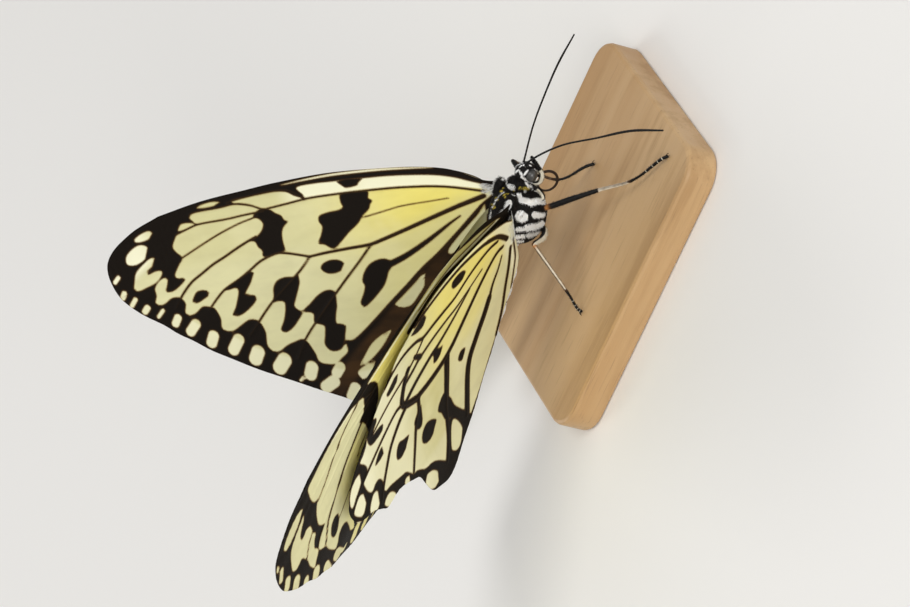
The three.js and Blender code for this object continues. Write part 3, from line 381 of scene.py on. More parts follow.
HIND_FIELD = [
    (-0.5, 0.6), (2.5, 3.3), (6.0, 5.0), (10.5, 6.6), (15.5, 7.4), (19.5, 7.8), (23, 8.0), (27, 7.8),
    (30, 7.2), (34, 6.2), (37.5, 4.7), (39.8, 3.5), (42.3, 1.9), (43.5, 0.6), (44.0, -0.7), (45.2, -1.6),
    (46.3, -2.1), (45.6, -3.3), (45.2, -4.5), (45.6, -5.4), (46.8, -6.0), (46.9, -6.9), (46.6, -8.3),
    (45.9, -9.2), (44.9, -8.9), (44.1, -8.8), (43.3, -9.4), (43.0, -10.6), (43.3, -11.8), (43.0, -12.5),
    (42, -12.7), (40.5, -13.3), (39, -14.0), (37.8, -14.6), (37.0, -15.7), (36.3, -16.8), (35.4, -17.2),
    (34.6, -17.9), (33.5, -19.0), (31.8, -19.7), (30.6, -20.7), (29.6, -21.9), (28.5, -23.2), (27.6, -22.7),
    (26.2, -19.0), (24.9, -17.5), (23.3, -18.3), (21.8, -20.8), (20.4, -21.9), (19.7, -22.7), (16, -20.8),
    (11, -17.2), (7, -15.5), (3.2, -12), (-0.6, -6), (-2.6, -4.5),
]
HIND_BLOTCHES = [
    [(13.5, 3.1), (14.0, 4.1), (15.3, 4.75), (16.9, 4.85), (17.3, 4.1), (16.8, 3.2), (15.5, 2.7),
     (14.2, 2.6)],
    [(24.5, 5.4), (24.8, 6.4), (25.6, 6.8), (26.9, 6.6), (28.6, 6.3), (27.6, 5.4), (26.2, 4.85), (25.2, 4.8)],
    [(33.4, 2.9), (34.2, 3.3), (35.7, 2.9), (36.9, 2.5), (36.6, 1.7), (35.2, 1.6), (33.8, 2.1)],
    [(21.9, -4.3), (22.9, -3.8), (23.5, -3.0), (24.5, -3.1), (24.6, -4.0), (24.9, -4.9), (24.0, -5.3),
     (22.7, -5.0)],
    [(17.3, -10.3), (18.5, -9.6), (19.6, -10.3), (19.2, -11.2), (18.4, -11.3)],
    [(40.5, 0.5), (40.6, 1.5), (42.0, 1.8), (43.3, 1.2), (43.5, -0.6), (43.0, -2.0), (41.4, -2.5),
     (39.7, -2.5), (39.3, -1.6), (40.6, -1.1), (41.8, -0.9), (41.5, -0.1)],
    [(40.8, -5.1), (41.9, -5.2), (43.4, -6.2), (41.9, -6.5), (40.8, -6.2)],
    [(34.6, -9.9), (36.0, -9.2), (37.2, -8.6), (38.4, -9.6), (38.6, -10.7), (37.6, -11.3), (35.8, -10.9)],
    [(28.0, -14.4), (29.2, -12.9), (30.5, -12.4), (31.9, -13.1), (32.3, -14.5), (31.2, -15.6), (29.4, -15.6)],
    [(30.1, -8.4), (31.6, -8.7), (32.8, -9.6), (32.5, -11.2), (31.4, -11.6), (30.6, -10.4)],
    [(24.4, -12.2), (26.0, -12.4), (27.1, -13.4), (26.5, -14.6), (26.1, -16.6), (25.0, -17.6), (23.9, -18.4),
     (22.7, -20.8), (21.6, -22.4), (20.8, -21.2), (22.0, -19.0), (23.2, -16.6), (23.6, -14.2)],
]
HIND_SPOTS = [
    [(47.1, -3.6), (48.4, -3.4), (50, -4.1), (51.1, -5.8), (50.8, -6.9), (49.5, -6.3), (48, -5.6),
     (47.2, -4.9)],
    [(47.7, -7.5), (48.6, -6.9), (50, -7.4), (50.9, -8.2), (50.4, -9.4), (49.5, -10.3), (48.6, -10.0),
     (47.7, -9.0)],
    [(44.7, -10.5), (45.6, -9.8), (47.0, -10.6), (47.7, -11.8), (46.9, -13.0), (45.8, -13.0), (45.1, -12.4)],
    [(41.4, -14.8), (42.2, -13.7), (43.3, -13.5), (44.3, -14.2), (43.2, -16.0), (41.8, -17.4), (41.1, -16.4)],
    [(37.3, -16.0), (38.4, -15.5), (38.8, -16.4), (37.4, -17.2)],
    [(50.3, -10.5), (51.2, -9.9), (51.1, -11.2), (49.9, -12.4), (49.3, -11.9)],
    [(31.2, -22.6), (32.2, -21.0), (33.7, -20.3), (34.6, -21.5), (34.3, -23), (33, -24.2), (31.5, -24.1)],
    [(23.1, -22.3), (23.5, -20), (24.4, -18.5), (25.3, -19.2), (26.5, -22), (26.6, -23.2), (25.4, -24.3),
     (23.9, -23.7)],
]

# A thin pale line along the forewing's front edge, and its half width.
WHITE_EDGE = [(8, 5.05), (12, 5.7), (16, 6.25), (20, 6.65), (25, 7.0), (30, 7.05), (34, 6.95)]
WHITE_EDGE_HALF = 0.2

# Lines that part the tints, as places along a and their b: the front strip of a hindwing, a forewing's
# radius, the inner side of its marginal spots, and the two white lines of its lower face.
HIND_STRIP = ([6, 12, 20, 28], [2.8, 5.2, 6.7, 7.0])
RADIUS_LINE = ([0, 5, 10, 20, 30, 40], [0, 1.3, 2.5, 3.65, 4.1, 3.7])
SPOTS_LINE = ([32, 39.5, 44, 48, 51, 54.7, 57.3, 59.7, 62, 64.3, 66, 67.3],
              [-25.5, -22.7, -20.8, -18.9, -16.5, -15, -12.7, -11, -9.5, -8.4, -6.9, -5.4])
UNDER_LINE = ([3, 9, 15, 20, 27], [1.5, 3.2, 4.85, 5.35, 5.1])
UNDER_RIM = ([18, 26, 36], [6.3, 6.35, 6.25])

# The hindwing covers a forewing's lower face behind this line, then behind a straight one from turn to end.
COVER_INNER = ([0, 5, 10, 15, 20, 28, 36.5], [-2.4, -1.2, 0.05, 1.6, 2.4, 0.6, -1.2])
COVER_TURN, COVER_END = 36.5, 48.5

# ---- Markings of the body, in body millimetres, for one side -----------------------------------------------

# Each mark: the two ends of its middle line, as distance from the midline, y and z, and its half width.
WHITE_MARKS = [
    ((0.65, -7.85, 1.5), (1.2, -7.25, 1.12), 0.17), ((1.25, -8.15, 0.4), (1.35, -7.35, 0.85), 0.17),
    ((1.2, -6.9, 1.05), (1.35, -6.45, 0.1), 0.26), ((1.3, -6.45, 0.0), (1.0, -6.15, -0.8), 0.26),
    ((0.3, -8.55, 0.85), (0.6, -8.5, 0.5), 0.14), ((0.5, -8.6, -0.1), (0.55, -8.55, -0.25), 0.15),
    ((0.25, -8.4, 1.15), (0.4, -8.1, 1.45), 0.13), ((0.9, -8.4, -0.4), (0.95, -8.3, -0.6), 0.13),
    ((0.9, -8.1, -1.0), (1.0, -7.2, -1.45), 0.28), ((1.0, -7.2, -1.45), (0.9, -6.4, -1.1), 0.24),
    ((0.35, -4.96, 2.35), (1.0, -5.1, 2.0), 0.42), ((1.25, -6.4, 0.5), (1.5, -5.7, -0.2), 0.22),
    ((1.5, -5.7, -0.2), (1.3, -5.75, -0.6), 0.2), ((1.5, -4.8, 0.3), (1.55, -4.98, 0.2), 0.15),
    ((0.15, -7.1, 1.85), (0.5, -7.75, 1.68), 0.22), ((0.0, -3.7, 2.7), (0.0, -2.4, 3.6), 0.16),
    ((0.0, -2.4, 3.6), (0.0, 1.5, 4.1), 0.24), ((1.59, -4.3, 1.04), (2.23, -3.79, 0.96), 0.34),
    ((2.23, -3.79, 0.96), (2.54, -3.53, -0.63), 0.5), ((2.54, -3.53, -0.63), (2.13, -3.63, -1.83), 0.54),
    ((2.13, -3.63, -1.83), (1.11, -2.94, -3.34), 0.5), ((1.1, -5.25, -0.92), (0.71, -4.31, -2.08), 0.22),
    ((0.71, -4.31, -2.08), (1.22, -3.47, -2.91), 0.27), ((3.28, -1.68, 0.86), (3.39, -1.46, 0.45), 0.8),
    ((3.2, -1.89, -1.3), (2.94, -1.69, -2.26), 0.48), ((2.94, -1.69, -2.26), (2.4, -1.5, -3.2), 0.35),
    ((3.49, 0.51, 0.82), (3.54, 0.47, 0.12), 0.41), ((3.54, 0.15, -0.63), (2.83, -0.2, -2.9), 0.64),
    ((2.83, -0.2, -2.9), (2.2, 0.3, -3.7), 0.5), ((3.1, 2.1, 0.8), (3.2, 1.8, -0.3), 0.5),
    ((3.1, 0.9, 2.0), (3.2, 1.3, 1.7), 0.47), ((2.4, 3.0, 0.9), (2.5, 3.0, -0.6), 0.4),
    ((3.0, 1.5, -1.3), (2.5, 1.5, -2.8), 0.6), ((2.9, -1.3, 2.5), (3.2, -0.6, 2.2), 0.3),
    ((0.0, 2.6, 3.4), (0.0, 3.4, 2.6), 0.32), ((1.0, -1.4, -4.2), (1.0, 0.4, -4.3), 0.4),
    ((0.9, 1.6, -4.0), (0.8, 2.4, -3.6), 0.45),
]
TEGULA_MARKS = [((3.3, -3.75, 3.1), (3.2, -2.9, 3.2), 0.5), ((2.3, -4.6, 2.4), (2.6, -4.5, 2.3), 0.2)]
BLACK_MARKS = [((3.2, -2.0, 0.75), (3.65, -1.45, 0.45), 0.05), ((3.65, -1.45, 0.45), (3.7, -1.6, -0.1), 0.05)]
GOLD_MARKS = [
    ((0.38, -3.59, 2.84), (1.05, -3.47, 2.77), 0.13), ((0.69, -3.9, 2.47), (0.95, -3.91, 2.37), 0.11),
    ((0.24, -1.46, 3.88), (0.59, -1.46, 3.85), 0.17), ((0.29, -2.61, 3.47), (0.43, -2.58, 3.47), 0.12),
    ((0.99, -4.72, 1.83), (1.03, -4.7, 1.77), 0.1), ((1.46, -5.43, 1.24), (1.58, -5.48, 0.56), 0.1),
    ((1.58, -5.48, 0.56), (1.47, -5.43, -0.21), 0.1),
]

# ---- Places and curves -------------------------------------------------------------------------------------


def placed(points):
    """Body millimetres to the frame's metres: turned about x to lift the head, and raised over the floor."""
    points = np.asarray(points, float)
    x, y, z = points[..., 0], points[..., 1], points[..., 2]
    turned = np.stack([x, y * math.cos(PITCH) + z * math.sin(PITCH),
                       z * math.cos(PITCH) - y * math.sin(PITCH) + BODY_RISE], -1)
    return turned * MM


def smooth_path(points, steps, closed=False):
    """A curve through the points, with `steps` places from each point to the next: cubic pieces, spaced by
    the square roots of their distances, whose slope at a point is that of the line between its two
    neighbours."""
    p = np.asarray(points, float)
    if closed:
        p = np.concatenate([p[-2:], p, p[:3]])
    gap = np.maximum(np.linalg.norm(np.diff(p, axis=0), axis=1), 1e-6) ** 0.5
    t = np.concatenate([[0.0], np.cumsum(gap)])
    slope = np.empty_like(p)
    slope[1:-1] = (p[2:] - p[:-2]) / (t[2:] - t[:-2])[:, None]
    slope[0], slope[-1] = (p[1] - p[0]) / gap[0], (p[-1] - p[-2]) / gap[-1]
    share = np.linspace(0, 1, steps, endpoint=False)[None, :, None]
    g = gap[:, None, None]
    curve = cubic(share, p[:-1, None], p[1:, None], slope[:-1, None] * g, slope[1:, None] * g)
    if closed:
        return curve[2:-3].reshape(-1, p.shape[1])
    return np.concatenate([curve.reshape(-1, p.shape[1]), p[-1:]])


def cubic(s, start, end, leaving, arriving):
    """The cubic from `start` to `end` at the share s, with the given slopes at its two ends."""
    return ((2 * s**3 - 3 * s**2 + 1) * start + (s**3 - 2 * s**2 + s) * leaving + (3 * s**2 - 2 * s**3) * end
            + (s**3 - s**2) * arriving)


def even_stretch(curve, first, last, count):
    """Points at even lengths along a part of a curve, both ends included."""
    part = curve[first:last + 1]
    along = np.concatenate([[0.0], np.cumsum(np.linalg.norm(np.diff(part, axis=0), axis=1))])
    wanted = np.linspace(0, along[-1], count)
    return np.stack([np.interp(wanted, along, part[:, k]) for k in range(part.shape[1])], -1)


def segment_distance(points, course):
    """For each point, the distance to the nearest place on a line of short pieces, and how far along it
    that place is, from 0 to 1."""
    best = np.full(len(points), 1e9)
    where = np.zeros(len(points))
    ends = course[1:] - course[:-1]
    squares = np.maximum((ends**2).sum(1), 1e-12)
    for index in range(len(ends)):
        offset = points - course[index]
        share = np.clip(offset @ ends[index] / squares[index], 0, 1)
        gap = np.hypot(offset[:, 0] - share * ends[index, 0], offset[:, 1] - share * ends[index, 1])
        nearer = gap < best
        best[nearer] = gap[nearer]
        where[nearer] = (index + share[nearer]) / len(ends)
    return best, where


def loop_depth(points, loop):
    """How deep each point lies inside a closed loop, or minus its distance outside, up to MARK_REACH."""
    course = smooth_path(loop, LOOP_STEPS, closed=True)
    course = np.concatenate([course, course[:1]])
    depth = np.full(len(points), -MARK_REACH)
    close = ((points > course.min(0) - MARK_REACH) & (points < course.max(0) + MARK_REACH)).all(1)
    boxed = points[close]
    gap, _ = segment_distance(boxed, course)
    (x0, y0), (x1, y1) = course[:-1].T, course[1:].T
    x, y = boxed[:, :1], boxed[:, 1:]
    crossing = ((y0 > y) != (y1 > y)) & (x < (x1 - x0) * (y - y0) / np.where(y1 == y0, 1e-9, y1 - y0) + x0)
    inside = crossing.sum(1) % 2 == 1
    depth[close] = np.maximum(np.where(inside, gap, -gap), -MARK_REACH)
    return depth


def eased(value, width):
    """0 below nought and 1 above `width`, eased at both ends."""
    s = np.clip(value / width, 0, 1)
    return s * s * (3 - 2 * s)


def within(value, low, high, rise, fall):
    """1 from `low` to `high`, eased in over `rise` at the one end and out over `fall` at the other."""
    return eased(value - low, rise) * eased(high - value, fall)


def near(value, middle, half, ease):
    """1 close to `middle`, falling to 0 at the distance `half` over the width `ease`."""
    return eased(half - np.abs(value - middle), ease)


def ramp(value, start, ease):
    """0 up to `start`, then rising evenly, eased in between."""
    return (value - start + np.hypot(value - start, ease)) / 2


def unit(vectors):
    """The same vectors at length 1."""
    return vectors / np.maximum(np.linalg.norm(vectors, axis=-1), 1e-9)[..., None]


# ---- Meshes ------------------------------------------------------------------------------------------------


def new_piece(name, points, faces, material):
    """A smooth mesh object at the origin from points in metres and faces as an array of corner numbers."""
    mesh = bpy.data.meshes.new(name)
    faces = np.asarray(faces, np.int32)
    mesh.vertices.add(len(points))
    mesh.vertices.foreach_set("co", np.asarray(points, np.float32).ravel())
    mesh.loops.add(faces.size)
    mesh.loops.foreach_set("vertex_index", faces.ravel())
    mesh.polygons.add(len(faces))
    mesh.polygons.foreach_set("loop_start", np.arange(0, faces.size, faces.shape[1], dtype=np.int32))
    mesh.update(calc_edges=True)
    mesh.validate()
    mesh.polygons.foreach_set("use_smooth", np.full(len(faces), True))
    mesh.materials.append(material)
    piece = bpy.data.objects.new(name, mesh)
    bpy.context.scene.collection.objects.link(piece)
    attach(piece, "root")
    return piece


def add_values(piece, **values):
    """One number for each vertex under each name, for the materials to read."""
    for name, numbers in values.items():
        layer = piece.data.attributes.new(name, "FLOAT", "POINT")
        layer.data.foreach_set("value", np.asarray(numbers, np.float32).ravel())


def add_uv(piece, name, uv):
    """A UV map from one pair of numbers for each vertex."""
    corners = np.zeros(len(piece.data.loops), np.int32)
    piece.data.loops.foreach_get("vertex_index", corners)
    layer = piece.data.uv_layers.new(name=name)
    layer.data.foreach_set("uv", np.asarray(uv, np.float32)[corners].ravel())


def grid_faces(rows, columns, wrap=False):
    """Four-cornered faces of a grid whose columns may close on themselves."""
    r = np.arange(rows - 1)[:, None]
    c = np.arange(columns if wrap else columns - 1)[None, :]
    after = (c + 1) % columns
    corners = [r * columns + c, r * columns + after, (r + 1) * columns + after, (r + 1) * columns + c]
    return np.stack(corners, -1).reshape(-1, 4)


def fan(pole, ring, after):
    """Triangles from a pole to a ring's points and the points after them."""
    return np.stack([np.full(len(ring), pole), ring, after], -1)


def halved(quads):
    """Two triangles for each four-cornered face."""
    return np.concatenate([quads[:, [0, 1, 2]], quads[:, [0, 2, 3]]])


def closed_rings(rows, sides):
    """Triangles, seen from outside, of a stack of rings whose two poles come after the rings' points."""
    ring = np.arange(sides)
    after = (ring + 1) % sides
    last = (rows - 1) * sides
    faces = np.concatenate([halved(grid_faces(rows, sides, wrap=True)), fan(rows * sides, after, ring),
                            fan(rows * sides + 1, last + ring, last + after)])
    return faces[:, ::-1]


def tube(path, radius, sides):
    """A closed tube: a ring of `sides` points round each point of the path, then at each end three smaller
    rings and a pole that round it off. Returns its points and triangles, and each point's share along the
    path and its angle round it."""
    heading = unit(np.gradient(path, axis=0))
    reach = np.sqrt(1 - END_RINGS**2)
    path = np.concatenate([path[:1] - heading[:1] * (reach[::-1] * radius[0])[:, None], path,
                           path[-1:] + heading[-1:] * (reach * radius[-1])[:, None]])
    radius = np.concatenate([END_RINGS[::-1] * radius[0], radius, END_RINGS * radius[-1]])
    extra = len(END_RINGS)
    heading = np.concatenate([np.repeat(heading[:1], extra, 0), heading, np.repeat(heading[-1:], extra, 0)])
    side = unit(np.cross(heading, UPWARDS))
    over = np.cross(side, heading)
    angle = np.linspace(0, 2 * np.pi, sides, endpoint=False)
    round_it = np.cos(angle)[None, :, None] * side[:, None] + np.sin(angle)[None, :, None] * over[:, None]
    rings = path[:, None] + radius[:, None, None] * round_it
    points = np.concatenate([rings.reshape(-1, 3), path[:1], path[-1:]])
    count = len(path)
    ring = np.arange(sides)
    after = (ring + 1) % sides
    last = (count - 1) * sides
    faces = np.concatenate([halved(grid_faces(count, sides, wrap=True)[:, ::-1]),
                            fan(count * sides, ring, after)[:, ::-1],
                            fan(count * sides + 1, last + after, last + ring)[:, ::-1]])
    along = np.concatenate([np.repeat(np.linspace(0, 1, count), sides), [0, 1]])
    around = np.concatenate([np.tile(angle, count), [0, 0]])
    return points, faces, along, around


# ---- Wings -------------------------------------------------------------------------------------------------


def wing_axes(held):
    """The directions of a, of b and of the upper face's normal, for a left wing."""
    raised, swept, rolled = (math.radians(held[k]) for k in ("raised", "swept", "rolled"))
    a = np.array([math.cos(raised) * math.cos(swept), math.cos(raised) * math.sin(swept), math.sin(raised)])
    level = np.array([math.sin(swept), -math.cos(swept), 0.0])
    b = level * math.cos(rolled) + np.cross(level, a) * math.sin(rolled)
    return a, b, np.cross(b, a)


def wing_height(held, plan, hind):
    """The middle of a wing over its flat plan: a sum of powers of a and b, the forewing's rear curling up,
    and the hindwing lying lower, the more so towards its rear, with its root rising into the thorax."""
    a, b = plan[..., 0], plan[..., 1]
    u, v = a / WING_LENGTH, b / WING_LENGTH
    height = held["span"] * u * u + held["twist"] * u * v + held["chord"] * v * v + held["tip"] * u**3
    if hind:
        return height - HIND_SHEET - HIND_SLOPE * ramp(-b, HIND_START, EASE) + ROOT_SINK * ramp(
            ROOT_SUNK - a, 0, ROOT_EASE)
    return height + held["curl"] * ramp(-b, CURL_START, EASE)


def plan_grid(tracks, rows, spacing):
    """The wing's plan as rows of points. Each track gives one column, and between two tracks come as many
    columns as their distance at the margin asks for, closer together beside the tracks. Along a row the
    points lie on a smooth curve through the tracks. Returns the plan and each column's place, counted in
    tracks."""
    cell_row = int(rows * CELL_SHARE)
    lines = []
    for cell, points in tracks:
        curve = smooth_path(points, TRACK_STEPS)
        inner = even_stretch(curve, 0, cell * TRACK_STEPS, cell_row + 1)
        outer = even_stretch(curve, cell * TRACK_STEPS, len(curve) - 1, rows - cell_row)
        lines.append(np.concatenate([inner, outer[1:]]))
    lines = np.stack(lines, 1)
    gap = np.maximum(np.linalg.norm(np.diff(lines, axis=1), axis=2), 1e-4)
    t = np.concatenate([np.zeros((rows, 1)), np.cumsum(gap, axis=1)], axis=1)
    slope = np.empty_like(lines)
    slope[:, 1:-1] = (lines[:, 2:] - lines[:, :-2]) / (t[:, 2:] - t[:, :-2])[..., None]
    slope[:, 0] = (lines[:, 1] - lines[:, 0]) / gap[:, :1]
    slope[:, -1] = (lines[:, -1] - lines[:, -2]) / gap[:, -1:]
    columns, marks = [], []
    for index in range(lines.shape[1] - 1):
        count = int(np.clip(round(gap[-1, index] / spacing), *COLUMN_RANGE))
        share = np.arange(count + (index == lines.shape[1] - 2)) / count
        share = share - TRACK_CROWD * np.sin(2 * np.pi * share)
        g = gap[:, index, None, None]
        columns.append(cubic(share[None, :, None], lines[:, index, None], lines[:, index + 1, None],
                             slope[:, index, None] * g, slope[:, index + 1, None] * g))
        marks.append(index + share)
    return np.concatenate(columns, axis=1), np.concatenate(marks)


def shaped_margin(plan, marks, bites, scallop):
    """The same plan with its outer margin moved along the rows: inwards at each bite, given as its place in
    tracks, its half width and its depth, and outwards by the scallop between two tracks."""
    depth = -scallop * np.sin(np.pi * marks) ** 2
    for place, width, bite in bites:
        depth = depth + bite * np.exp(-((marks - place) / width) ** 2)
    outward = unit(plan[-1] - plan[-MARGIN_ROWS])
    share = np.linspace(0, 1, len(plan))[:, None, None] ** MARGIN_POWER
    return plan - share * depth[None, :, None] * outward[None]


def vein_map(plan, veins):
    """For each plan point: how far it lies inside the dark of a vein, and how high the vein's ridge is."""
    ink = np.full(len(plan), OUTSIDE)
    ridge = np.zeros(len(plan))
    for name, (first, last, course) in veins.items():
        gap, along = segment_distance(plan, smooth_path(course, VEIN_STEPS))
        half = first + (last - first) * along
        ink = np.maximum(ink, half - gap)
        if not any(word in name for word in FLAT_LINES):
            ridge = np.maximum(ridge, np.exp(-(gap / RIDGE_WIDTH) ** 2))
    return ink, ridge


def deepest(plan, loops):
    """How deep each plan point lies in the nearest of several loops."""
    return np.max([loop_depth(plan, loop) for loop in loops], axis=0)


def spot_depth(plan, spots):
    """The same for round-ended spots, given by their middle lines' ends and half widths."""
    return np.max([half - segment_distance(plan, np.array([(a0, b0), (a1, b1)]))[0]
                   for a0, b0, a1, b1, half in spots], axis=0)


def fore_ink(plan, veins_ink):
    """How deep each plan point lies in the dark, in millimetres: outside the pale fields, in the blotches
    and veins, and not in the pale spots."""
    ink = np.maximum(-deepest(plan, FORE_FIELDS), deepest(plan, FORE_BLOTCHES))
    ink = np.minimum(ink, -deepest(plan, FORE_SPOTS))
    ink = np.minimum(ink, -spot_depth(plan, FORE_MARGIN_SPOTS))
    gap, along = segment_distance(plan, smooth_path(WHITE_EDGE, LOOP_STEPS))
    ink = np.minimum(ink, gap - WHITE_EDGE_HALF * np.sin(np.pi * np.clip(along, 0.02, 1)) ** 0.5)
    return np.maximum(ink, veins_ink)


def hind_ink(plan, veins_ink):
    """The same for a hindwing."""
    ink = np.maximum(-loop_depth(plan, HIND_FIELD), deepest(plan, HIND_BLOTCHES))
    return np.minimum(np.maximum(ink, veins_ink), -deepest(plan, HIND_SPOTS))


def under_ink(plan, upper):
    """The dark of a forewing's lower face: its own drawing towards the front edge and the tip, and the
    upper face's where the hindwing covers it."""
    ink = np.maximum(-deepest(plan, FORE_UNDER_FIELDS), deepest(plan, FORE_UNDER_BLOTCHES))
    ink = np.minimum(ink, -spot_depth(plan, FORE_UNDER_SPOTS))
    ink = np.maximum(ink, vein_map(plan, FORE_UNDER_VEINS)[0])
    a, b = plan.T
    inner_edge = np.interp(a, *COVER_INNER)
    outer_edge = np.where(a < COVER_END, -5.5 - 0.15 * (a - COVER_TURN), -17.5)
    return np.where(b < np.where(a < COVER_TURN, inner_edge, outer_edge), upper, ink)


def hind_tints(a, b):
    """A hindwing's pale scales: yellow fans out from the root, olive painted shade lies in two soft patches,
    and the root, the outer spots, the rear corner and a strip along the front edge are whiter."""
    front = within(a, 1.5, 33, 4, 16) * eased(b + 5.5 + 0.15 * a, 4)
    rear = 0.75 * within(a, 4, 24, 5, 12) * eased(b + 7 + 0.25 * a, 4)
    yellow = np.maximum(front * eased(b + 3.5, 4), 0.8 * np.maximum(front, rear))
    outer = 0.55 * eased(a - 29, 9) + 0.3 * eased(a - 43, 3) + 0.3 * eased(-b - 17.5, 2) * eased(a - 21, 2)
    root_front = 0.6 * eased(b - 1.35 * a + 5.2, 0.5) * eased(7.5 - a, 3)
    strip = 0.5 * eased(b - np.interp(a, *HIND_STRIP), 0.2)
    white = np.max([0.85 * eased(4.5 - a, 2.5), outer, root_front, strip], axis=0)
    # painted shade: olive darkening towards the rear beyond a = 20, and round a = 25, b = -9.5
    olive = 0.35 * eased(-b - 4, 5) * eased(a - 20, 8) + 0.35 * near(a, 25, 4, 3) * near(b, -9.5, 3, 2)
    return yellow * (1 - root_front) * 0.92, np.clip(white, 0, 1), np.clip(olive, 0, 1)


def upper_tints(a, b):
    """A forewing's upper face: yellow behind the radius, fading outwards; white before it, at the root, at
    the tip and, half as much, in the marginal spots; olive towards the tip."""
    strip = np.maximum(eased(b - np.interp(a, *RADIUS_LINE), 0.3) * eased(36 - a, 6), eased(2.0 - a, 2.5))
    yellow = (1 - strip) * eased(36 - a, 26) * (0.45 + 0.55 * eased(b + 0.24 * a + 1.5, 4))
    marginal = 0.55 * eased(np.interp(a, *SPOTS_LINE) + 1.7 - b, 0.6)
    tip = eased(a - 57, 5) * eased(a + 2 * b - 56, 4)
    rear = eased(-b - 0.62 * a - 1.2, 0.4) * eased(26 - a, 4)
    olive = eased(a - 25, 12) * eased(b + 6 - 0.02 * a, 4) * 0.25
    return yellow * (1 - rear), np.max([strip, marginal, tip], axis=0), olive


def under_tints(a, b):
    """A forewing's lower face: yellow at the cell's end and just behind it, olive along the front edge, and
    two thin white lines there."""
    yellow = np.maximum(within(a, 25, 41, 3, 5) * eased(b + 1, 2),
                        0.5 * eased(1.6 - 0.6 * (a - 42) - b, 0.6) * within(a, 40, 52, 1, 5))
    line = near(b, np.interp(a, *UNDER_LINE), 0.3, 0.2) * eased(28 - a, 2)
    rim = near(b, np.interp(a, *UNDER_RIM), 0.35, 0.2) * eased(a - 17, 4)
    white = np.maximum(line, 0.8 * rim)
    olive = eased(27 - a, 3) * eased(b - 0.19 * a, 0.8)
    return yellow, white, np.clip(olive, 0, 1) * (1 - white)


def rear_rust(a, b):
    """How brown the dark scales of a forewing's upper face are: the most along its rear edge."""
    return near(b, -0.66 * a - 2.3, 2.6, 1.6) * within(a, 5, 42, 8, 10)


def pleats(plan, marks, rows):
    """Soft folds with a ripple: the membrane sinks between two tracks, and more so towards the margin."""
    across = np.sin(np.pi * marks)[None, :] ** 2
    out = np.linspace(0, 1, rows)[:, None] ** 1.5
    return (-PLEAT_DEPTH * across * out
            + RIPPLE_DEPTH * np.sin(RIPPLE_RATE * plan[..., 0]) * across * out**2)


def from_margin(rows, columns):
    """How many points each point of a wing's grid lies in from the front, rear or outer edge."""
    row = np.arange(rows)[:, None] * np.ones(columns)
    column = np.ones((rows, 1)) * np.arange(columns)
    return np.minimum(np.minimum(rows - 1 - row, column), columns - 1 - column)


def wing_sheet(side, plan, marks, ridge, hind):
    """Points and faces of a closed sheet: the same plan on both faces, each half the thickness from the
    wing's middle, raised by the ridges of the veins, with a thin rim all round."""
    held = HELD[side]
    rows, columns = plan.shape[:2]
    half = (RIM + (MEMBRANE - RIM) * np.clip(from_margin(rows, columns) / RIM_STEPS, 0, 1) ** 0.5) / 2
    middle = wing_height(held, plan, hind) + pleats(plan, marks, rows)
    axis_a, axis_b, axis_up = wing_axes(held)
    points = []
    for face in (1.0, -1.0):
        height = middle + face * (half + RIDGE_HEIGHT * ridge)
        points.append(np.array(held["root"]) + plan[..., :1] * axis_a + plan[..., 1:] * axis_b
                      + height[..., None] * axis_up)
    points = np.concatenate([p.reshape(-1, 3) for p in points]) * np.array([SIDES[side], 1.0, 1.0])
    upper = grid_faces(rows, columns)
    under = upper[:, ::-1] + rows * columns
    rim = np.concatenate([np.arange(columns)[::-1], np.arange(1, rows) * columns,
                          (rows - 1) * columns + np.arange(1, columns),
                          np.arange(rows - 2, 0, -1) * columns + columns - 1])
    after = np.roll(rim, -1)
    wall = np.stack([after, rim, rim + rows * columns, after + rows * columns], -1)
    faces = np.concatenate([upper, under, wall])
    return points, faces[:, ::-1] if SIDES[side] > 0 else faces


def wing(name, tracks, veins, inker, hind, material):
    """One wing: its shape, and the depth of the dark and the tints at every point of both faces."""
    side = name.split("_")[1]
    plan, marks = plan_grid(tracks, *(HIND_GRID if hind else FORE_GRID))
    if hind:
        plan = shaped_margin(plan, marks, WORN_BITES if side == "right" else [], HIND_SCALLOP)
    else:
        plan = shaped_margin(plan, marks, FULL_MARGIN, FORE_SCALLOP)
    flat = plan.reshape(-1, 2)
    veins_ink, ridge = vein_map(flat, veins)
    upper_ink = inker(flat, veins_ink)
    rows, columns = plan.shape[:2]
    ridge = (ridge.reshape(rows, columns) * np.clip(from_margin(rows, columns) / RIDGE_STEPS, 0, 1)
             * (1 - RIDGE_FADE * np.arange(rows)[:, None] / rows))
    points, faces = wing_sheet(side, plan, marks, ridge, hind)
    piece = new_piece(name + "_scales", placed(points), faces, material)
    add_uv(piece, "plan", np.concatenate([flat, flat]) / WING_LENGTH)
    a, b = flat.T
    upper = hind_tints(a, b) if hind else upper_tints(a, b)
    under = upper if hind else under_tints(a, b)
    yellow, white, olive = (np.concatenate(pair) for pair in zip(upper, under))
    rust = np.zeros(len(points)) if hind else np.concatenate([rear_rust(a, b), 0 * a])
    ink = np.concatenate([upper_ink, upper_ink if hind else under_ink(flat, upper_ink)])
    add_values(piece, ink=ink, ridge=np.tile(ridge.ravel(), 2), yellow=yellow, white=white, olive=olive,
               rust=rust)
    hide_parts(name)


# ---- Body --------------------------------------------------------------------------------------------------


def dome(share):
    """Half the height of a circle over its width, from 0 to 1."""
    return np.sqrt(np.clip(1 - (2 * share - 1) ** 2, 0, 1))


def share_of(part, y):
    """How far back y lies in a part of the body, from 0 at its front to 1 at its rear."""
    return np.clip((y - part["front"]) / (part["rear"] - part["front"]), 0, 1)


def plateau(y, start, end):
    """1 between two places, rising and falling over the half millimetre inside them."""
    return np.clip((y - start) * 2, 0, 1) * np.clip((end - y) * 2, 0, 1)


